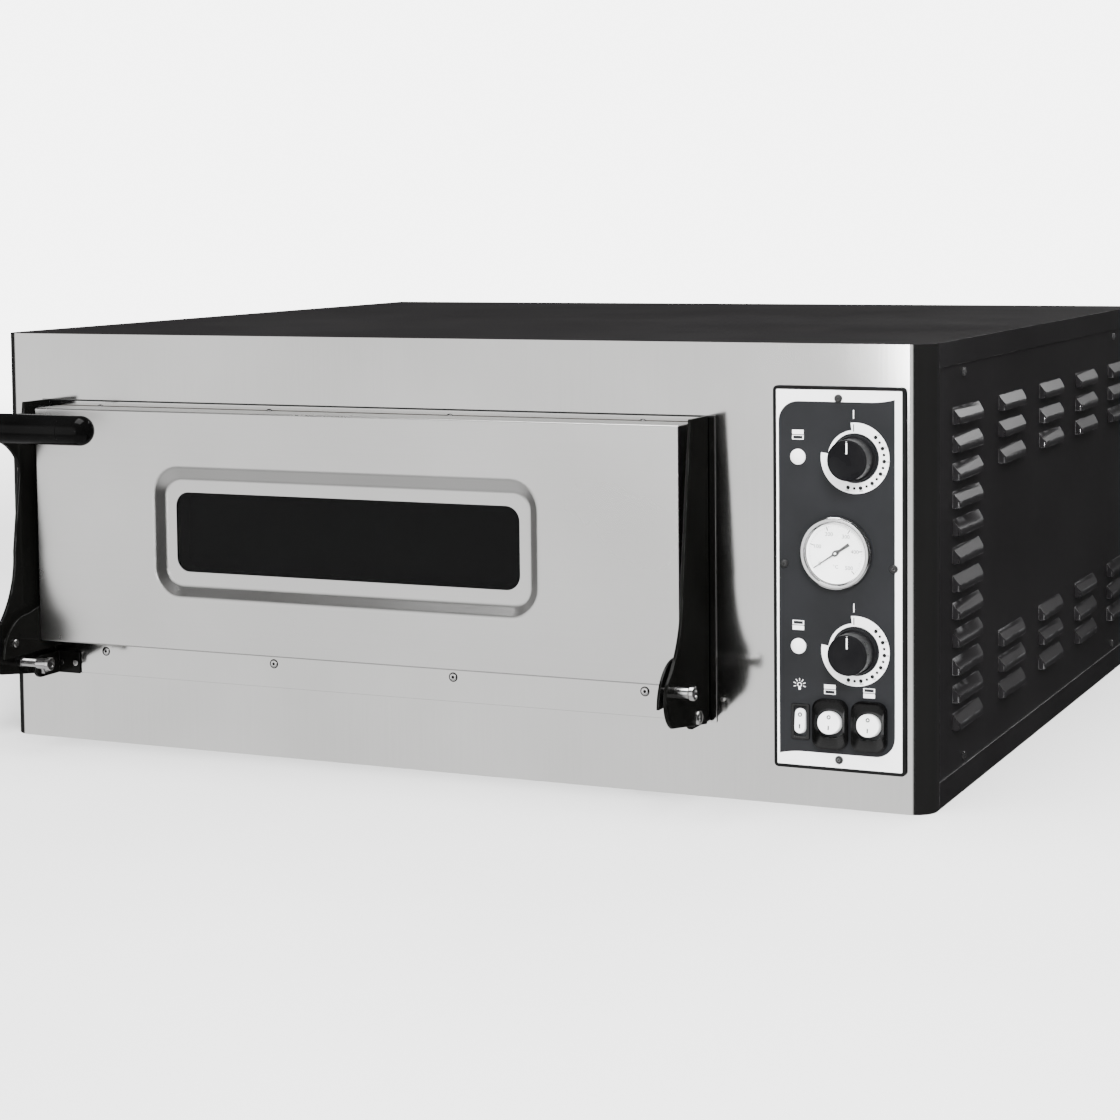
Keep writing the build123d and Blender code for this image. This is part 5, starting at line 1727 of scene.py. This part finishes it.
@dataclass
class RockerSwitch:
    """Rocker switch: moulded surround and a marked white rocker."""

    place: str
    body: Body
    pocket: Pair
    surround_radius: float
    shape: Surround
    mark_size: float
    pocket_gap: float = 0.2 * MM
    least_corner: float = 0.5 * MM
    crest: float = 0.6
    dish_border: float = 1.6 * MM
    pocket_floor: float = 3.0 * MM
    body_border: float = 3.0 * MM
    body_height: float = 30.0 * MM
    body_corner: float = 1.0 * MM
    body_gap: float = 3.4 * MM
    body_ease: float = 0.4 * MM
    lean: float = 8.0
    rocker_gap: Pair = (1.0 * MM, 3.6 * MM)
    rocker_crown: float = 1.0 * MM
    rocker_depth: Pair = (5.0 * MM, 9.0 * MM)
    mark_layer: float = 0.08 * MM
    mark_hole: float = 0.45
    mark_bar: Pair = (0.6, 2.0)
    mark_spots: Pair = (0.24, -0.22)

    def build(self) -> None:
        """Make the housing and its rocker."""
        housing = f"{self.place}_switch_housing"
        low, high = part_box(housing)
        rear, face = Oven.reach(housing)
        seat = Oven.reach("fascia_overlay")[1]
        middle = (low + high) / 2
        width, height = high.x - low.x, high.z - low.z
        wide, tall = self.pocket
        inset = self.shape.inset
        corner = min(wide / 2 - self.pocket_gap, self.shape.corner)
        rings = ((width, height, self.surround_radius, seat),
                 (width, height, self.surround_radius, face - inset * self.crest),
                 (width - 2 * inset, height - 2 * inset, max(self.surround_radius - inset, self.least_corner), face),
                 (wide + self.dish_border, tall + self.dish_border, corner, face - self.shape.dish),
                 (wide, tall, corner, face - self.shape.drop),
                 (wide, tall, corner, seat - self.pocket_floor))
        work = Workpiece()
        loops = [work.loop(Outline.rectangle(x, y, radius), out) for x, y, radius, out in rings]
        work.join(*loops)
        work.fill(loops[-1])
        work.fill(loops[0])
        body = Workpiece()
        body.slab(Outline.rectangle(wide + self.body_border, self.body_height, self.body_corner), rear,
                  seat - self.body_gap, self.body_ease)
        work.take(body)
        work.place(facing_front(middle.x, 0, middle.z))
        work.finish(f"{self.place}_switch_moulding", Body.OVEN, SWITCH_MOULDING, [housing])
        self.build_rocker(face - seat)

    def build_rocker(self, rise: float) -> None:
        """Make the rocker, tipped to its off side, with its 0 and I marks.

        Args:
            rise: how far the surround stands out of the plate.
        """
        node = f"{self.place}_rocker"
        low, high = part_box(node)
        centre = (low + high) / 2
        tilt = math.radians(self.lean)
        width, height = self.pocket[0] - self.rocker_gap[0], self.pocket[1] - self.rocker_gap[1]
        top = Oven.front - low.y - math.sin(tilt) * height / 2
        crown, radius, steps = self.rocker_crown, width / 2 - self.shape.gap, self.shape.steps
        work = Workpiece()
        foot = work.loop(Outline.rectangle(width, height, radius, steps=steps),
                         top - min(rise + self.rocker_depth[0], self.rocker_depth[1]))
        wall = work.loop(Outline.rectangle(width, height, radius, steps=steps), top - crown)
        crest = work.loop(Outline.rectangle(width - crown, height - crown, radius - crown / 2, steps=steps), top)
        work.join(foot, wall, crest)
        work.fill(foot)
        work.fill(crest)
        pivot = Matrix.Translation((centre.x, Oven.front, centre.z))
        lean = pivot @ Matrix.Rotation(-tilt, 4, "X") @ Matrix.Rotation(math.pi / 2, 4, "X")
        work.place(lean).finish(f"{self.place}_rocker_cap", self.body, WHITE_PLASTIC, [node])
        marks = Workpiece()
        size, skin = self.mark_size, top + self.mark_layer
        ring, bar = ((0, height * share) for share in self.mark_spots)
        marks.slab(Outline.circle(size, COARSE, ring), top, skin,
                   hole=Outline.circle(size * self.mark_hole, COARSE, ring))
        marks.slab(Outline.rectangle(*(size * share for share in self.mark_bar), centre=bar), top, skin)
        marks.place(lean).finish(f"{self.place}_rocker_marks", self.body, PRINT_INK)


@dataclass
class PilotLamps:
    """Two milky indicator lamps with domed lenses."""

    lens_radius: float = 7.0 * MM
    stem_radius: float = 5.0 * MM
    rim: float = 0.3
    heights: Pair = (312.8 * MM, 144.1 * MM)

    def build(self) -> None:
        """Make both lamps as one piece."""
        back, front = Oven.reach("pilot_lamps")
        seat = Oven.reach("fascia_overlay")[1]
        rise = front - seat
        wall = seat + self.rim * rise
        profile = [(0, back), (self.stem_radius, back), (self.stem_radius, seat), (self.lens_radius, seat)]
        profile += quarter((0, wall), self.lens_radius, front - wall, 10)[:-1] + [(0, front)]
        work = Workpiece()
        for z in self.heights:
            work.turned(profile, MEDIUM, (Oven.centre("pilot_lamps").x, z))
        work.place(facing_front(0, 0, 0)).finish("pilot_lamp_lenses", Body.OVEN, LAMP_LENS, ["pilot_lamps"])


# ---------------------------------------------------------------- studio


@dataclass(frozen=True)
class SoftBox:
    """One square soft box.

    Attributes:
        name: name of the lamp.
        place: where it hangs.
        aim: the point that it faces.
        size: length of its side.
        watts: its power.
        mirrored: whether shiny surfaces mirror it.
    """

    name: str
    place: Triple
    aim: Triple
    size: float
    watts: float
    mirrored: bool = True

    def build(self) -> None:
        """Hang the lamp and turn it to its aim."""
        data = bpy.data.lights.new(self.name, "AREA")
        data.energy = self.watts
        data.size = self.size
        lamp = bpy.data.objects.new(self.name, data)
        lamp.location = self.place
        lamp.rotation_euler = (Vector(self.aim) - Vector(self.place)).to_track_quat("-Z", "Y").to_euler()
        lamp.visible_glossy = self.mirrored
        bpy.context.scene.collection.objects.link(lamp)


@dataclass
class Studio:
    """Pale floor, soft light and the camera.

    The world shows a plain white room to the camera, an even fill to dull surfaces, and to mirrors a
    dark room with one bright wall and a faint glow from the floor.
    """

    camera_place: Triple = (1.0861, -2.5390, 0.5308)
    yaw: float = 24.298
    pitch: float = 4.105
    roll: float = -0.588
    lens: float = 80.83
    sensor: float = 36.0
    shift: float = -0.15
    floor_size: float = 12.0
    fade_start: float = 1.6
    fade_end: float = 5.0
    wall_end: Triple = (-0.9925, 0.1219, 0.0)
    wall_side: Pair = (-0.26, -0.14)
    wall_front: Pair = (-0.28, -0.42)
    wall_rise: Pair = (0.5, 0.3)
    wall_light: float = 1.6
    glow_span: Pair = (-0.4, -0.65)
    floor_glow: float = 0.45
    fill_light: float = 1.6
    seen_light: float = 6.0
    room_dark: Colour = (0.02, 0.02, 0.02)
    white: Colour = (1.0, 1.0, 1.0)
    lamps: tuple[SoftBox, ...] = (
        SoftBox("overhead_box", (0.0, -0.8, 3.2), (0.0, 0.0, 0.2), 2.4, 170.0),
        SoftBox("rear_box", (1.3, 3.0, 2.0), (0.45, 0.0, 0.2), 1.5, 90.0),
        SoftBox("corner_strip", (-0.3, -3.4, 0.25), (0.47, -0.43, 0.2), 0.22, 3.0),
        SoftBox("front_box", (1.9, -3.4, 2.6), (0.1, -0.3, 0.2), 1.2, 420.0, mirrored=False),
    )

    def build(self) -> None:
        """Set up floor, world, lamps and camera."""
        self.build_floor()
        self.build_world()
        for lamp in self.lamps:
            lamp.build()
        self.build_camera()

    def build_floor(self) -> None:
        """Lay the floor just under the oven, fading into the room farther out."""
        bench = bmesh.new()
        bmesh.ops.create_grid(bench, x_segments=1, y_segments=1, size=self.floor_size / 2)
        mesh = bpy.data.meshes.new("studio_floor")
        bench.to_mesh(mesh)
        bench.free()
        floor = bpy.data.objects.new("studio_floor", mesh)
        bpy.context.scene.collection.objects.link(floor)
        material = PALE_FLOOR.material()
        shading = ShaderBench(material.node_tree)
        surface = next(node for node in material.node_tree.nodes if node.type == "BSDF_PRINCIPLED")
        reach = shading.add("ShaderNodeVectorMath", {0: shading.place()}, operation="LENGTH")
        shading.feed(surface.inputs["Alpha"], shading.ramp(reach.outputs["Value"], self.fade_end, self.fade_start))
        mesh.materials.append(material)
        floor.visible_glossy = False

    def build_world(self) -> None:
        """Light the room: one look for the camera, one for mirrors and one for all else."""
        world = bpy.data.worlds.new("studio_room")
        bpy.context.scene.world = world
        world.use_nodes = True
        world.node_tree.nodes.clear()
        bench = ShaderBench(world.node_tree)
        place = bench.add("ShaderNodeTexCoord").outputs["Generated"]
        along = bench.add("ShaderNodeVectorMath", {0: place, 1: self.wall_end}, operation="DOT_PRODUCT")
        split = bench.add("ShaderNodeSeparateXYZ", {"Vector": place}).outputs
        side = bench.ramp(along.outputs["Value"], *self.wall_side)
        front = bench.ramp(split["Y"], *self.wall_front)
        rise = bench.ramp(bench.math("ABSOLUTE", split["Z"]), *self.wall_rise)
        wall = bench.math("MULTIPLY", bench.math("MULTIPLY", side, front), rise)
        glow = bench.math("MULTIPLY", bench.ramp(split["Z"], *self.glow_span), self.floor_glow)
        room = bench.mix(bench.math("MAXIMUM", wall, glow), self.room_dark, self.white)
        mirrored, fill, seen = (
            bench.add("ShaderNodeBackground", {"Color": colour, "Strength": strength}).outputs[0]
            for colour, strength in ((room, self.wall_light), ((*self.white, 1.0), self.fill_light),
                                     ((*self.white, 1.0), self.seen_light)))
        path = bench.add("ShaderNodeLightPath").outputs
        lit = bench.add("ShaderNodeMixShader", {0: path["Is Glossy Ray"], 1: fill, 2: mirrored}).outputs[0]
        choice = bench.add("ShaderNodeMixShader", {0: path["Is Camera Ray"], 1: lit, 2: seen}).outputs[0]
        bench.add("ShaderNodeOutputWorld", {"Surface": choice})

    def build_camera(self) -> None:
        """Stand the camera at its place, turned by its yaw, pitch and roll."""
        yaw, pitch, roll = (math.radians(a) for a in (self.yaw, self.pitch, self.roll))
        ahead = Vector((-math.sin(yaw) * math.cos(pitch), math.cos(yaw) * math.cos(pitch), -math.sin(pitch)))
        right = Vector((math.cos(yaw), math.sin(yaw), 0))
        above = right.cross(ahead)
        across = right * math.cos(roll) + above * math.sin(roll)
        upward = above * math.cos(roll) - right * math.sin(roll)
        data = bpy.data.cameras.new("camera")
        data.lens = self.lens
        data.sensor_width = self.sensor
        data.shift_y = self.shift
        camera = bpy.data.objects.new("camera", data)
        turn = Matrix((across, upward, -ahead)).transposed().to_4x4()
        camera.matrix_world = Matrix.Translation(self.camera_place) @ turn
        bpy.context.scene.collection.objects.link(camera)
        bpy.context.scene.camera = camera


def dress_plain_nodes() -> None:
    """Give the nodes that keep their own mesh a finish."""
    for node, finish in PLAIN_NODES.items():
        mesh = Oven.nodes[node].data
        mesh.materials.clear()
        mesh.materials.append(finish.material())
        LOG.info("%s: kept as it is", node)


def main() -> None:
    """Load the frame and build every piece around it."""
    logging.basicConfig(level=logging.INFO, format="%(name)s: %(message)s")
    Oven.read(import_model())
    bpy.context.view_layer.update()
    Studio().build()
    for piece in REFINED:
        piece.build()
    dress_plain_nodes()
    assemblies = (
        Fasteners(), Door(), FasciaPrint(), ControlKnob("knob_upper", Body.KNOB_UPPER),
        ControlKnob("knob_lower", Body.KNOB_LOWER), Thermometer(),
        RockerSwitch("light", Body.LIGHT_ROCKER, (11 * MM, 26 * MM), 1.5 * MM, PLAIN, 2.0 * MM),
        RockerSwitch("upper", Body.UPPER_ROCKER, (22 * MM, 24 * MM), 9 * MM, DISHED, 1.9 * MM),
        RockerSwitch("lower", Body.LOWER_ROCKER, (22 * MM, 24 * MM), 9 * MM, DISHED, 1.9 * MM), PilotLamps())
    for assembly in assemblies:
        assembly.build()


if __name__ == "__main__":
    main()
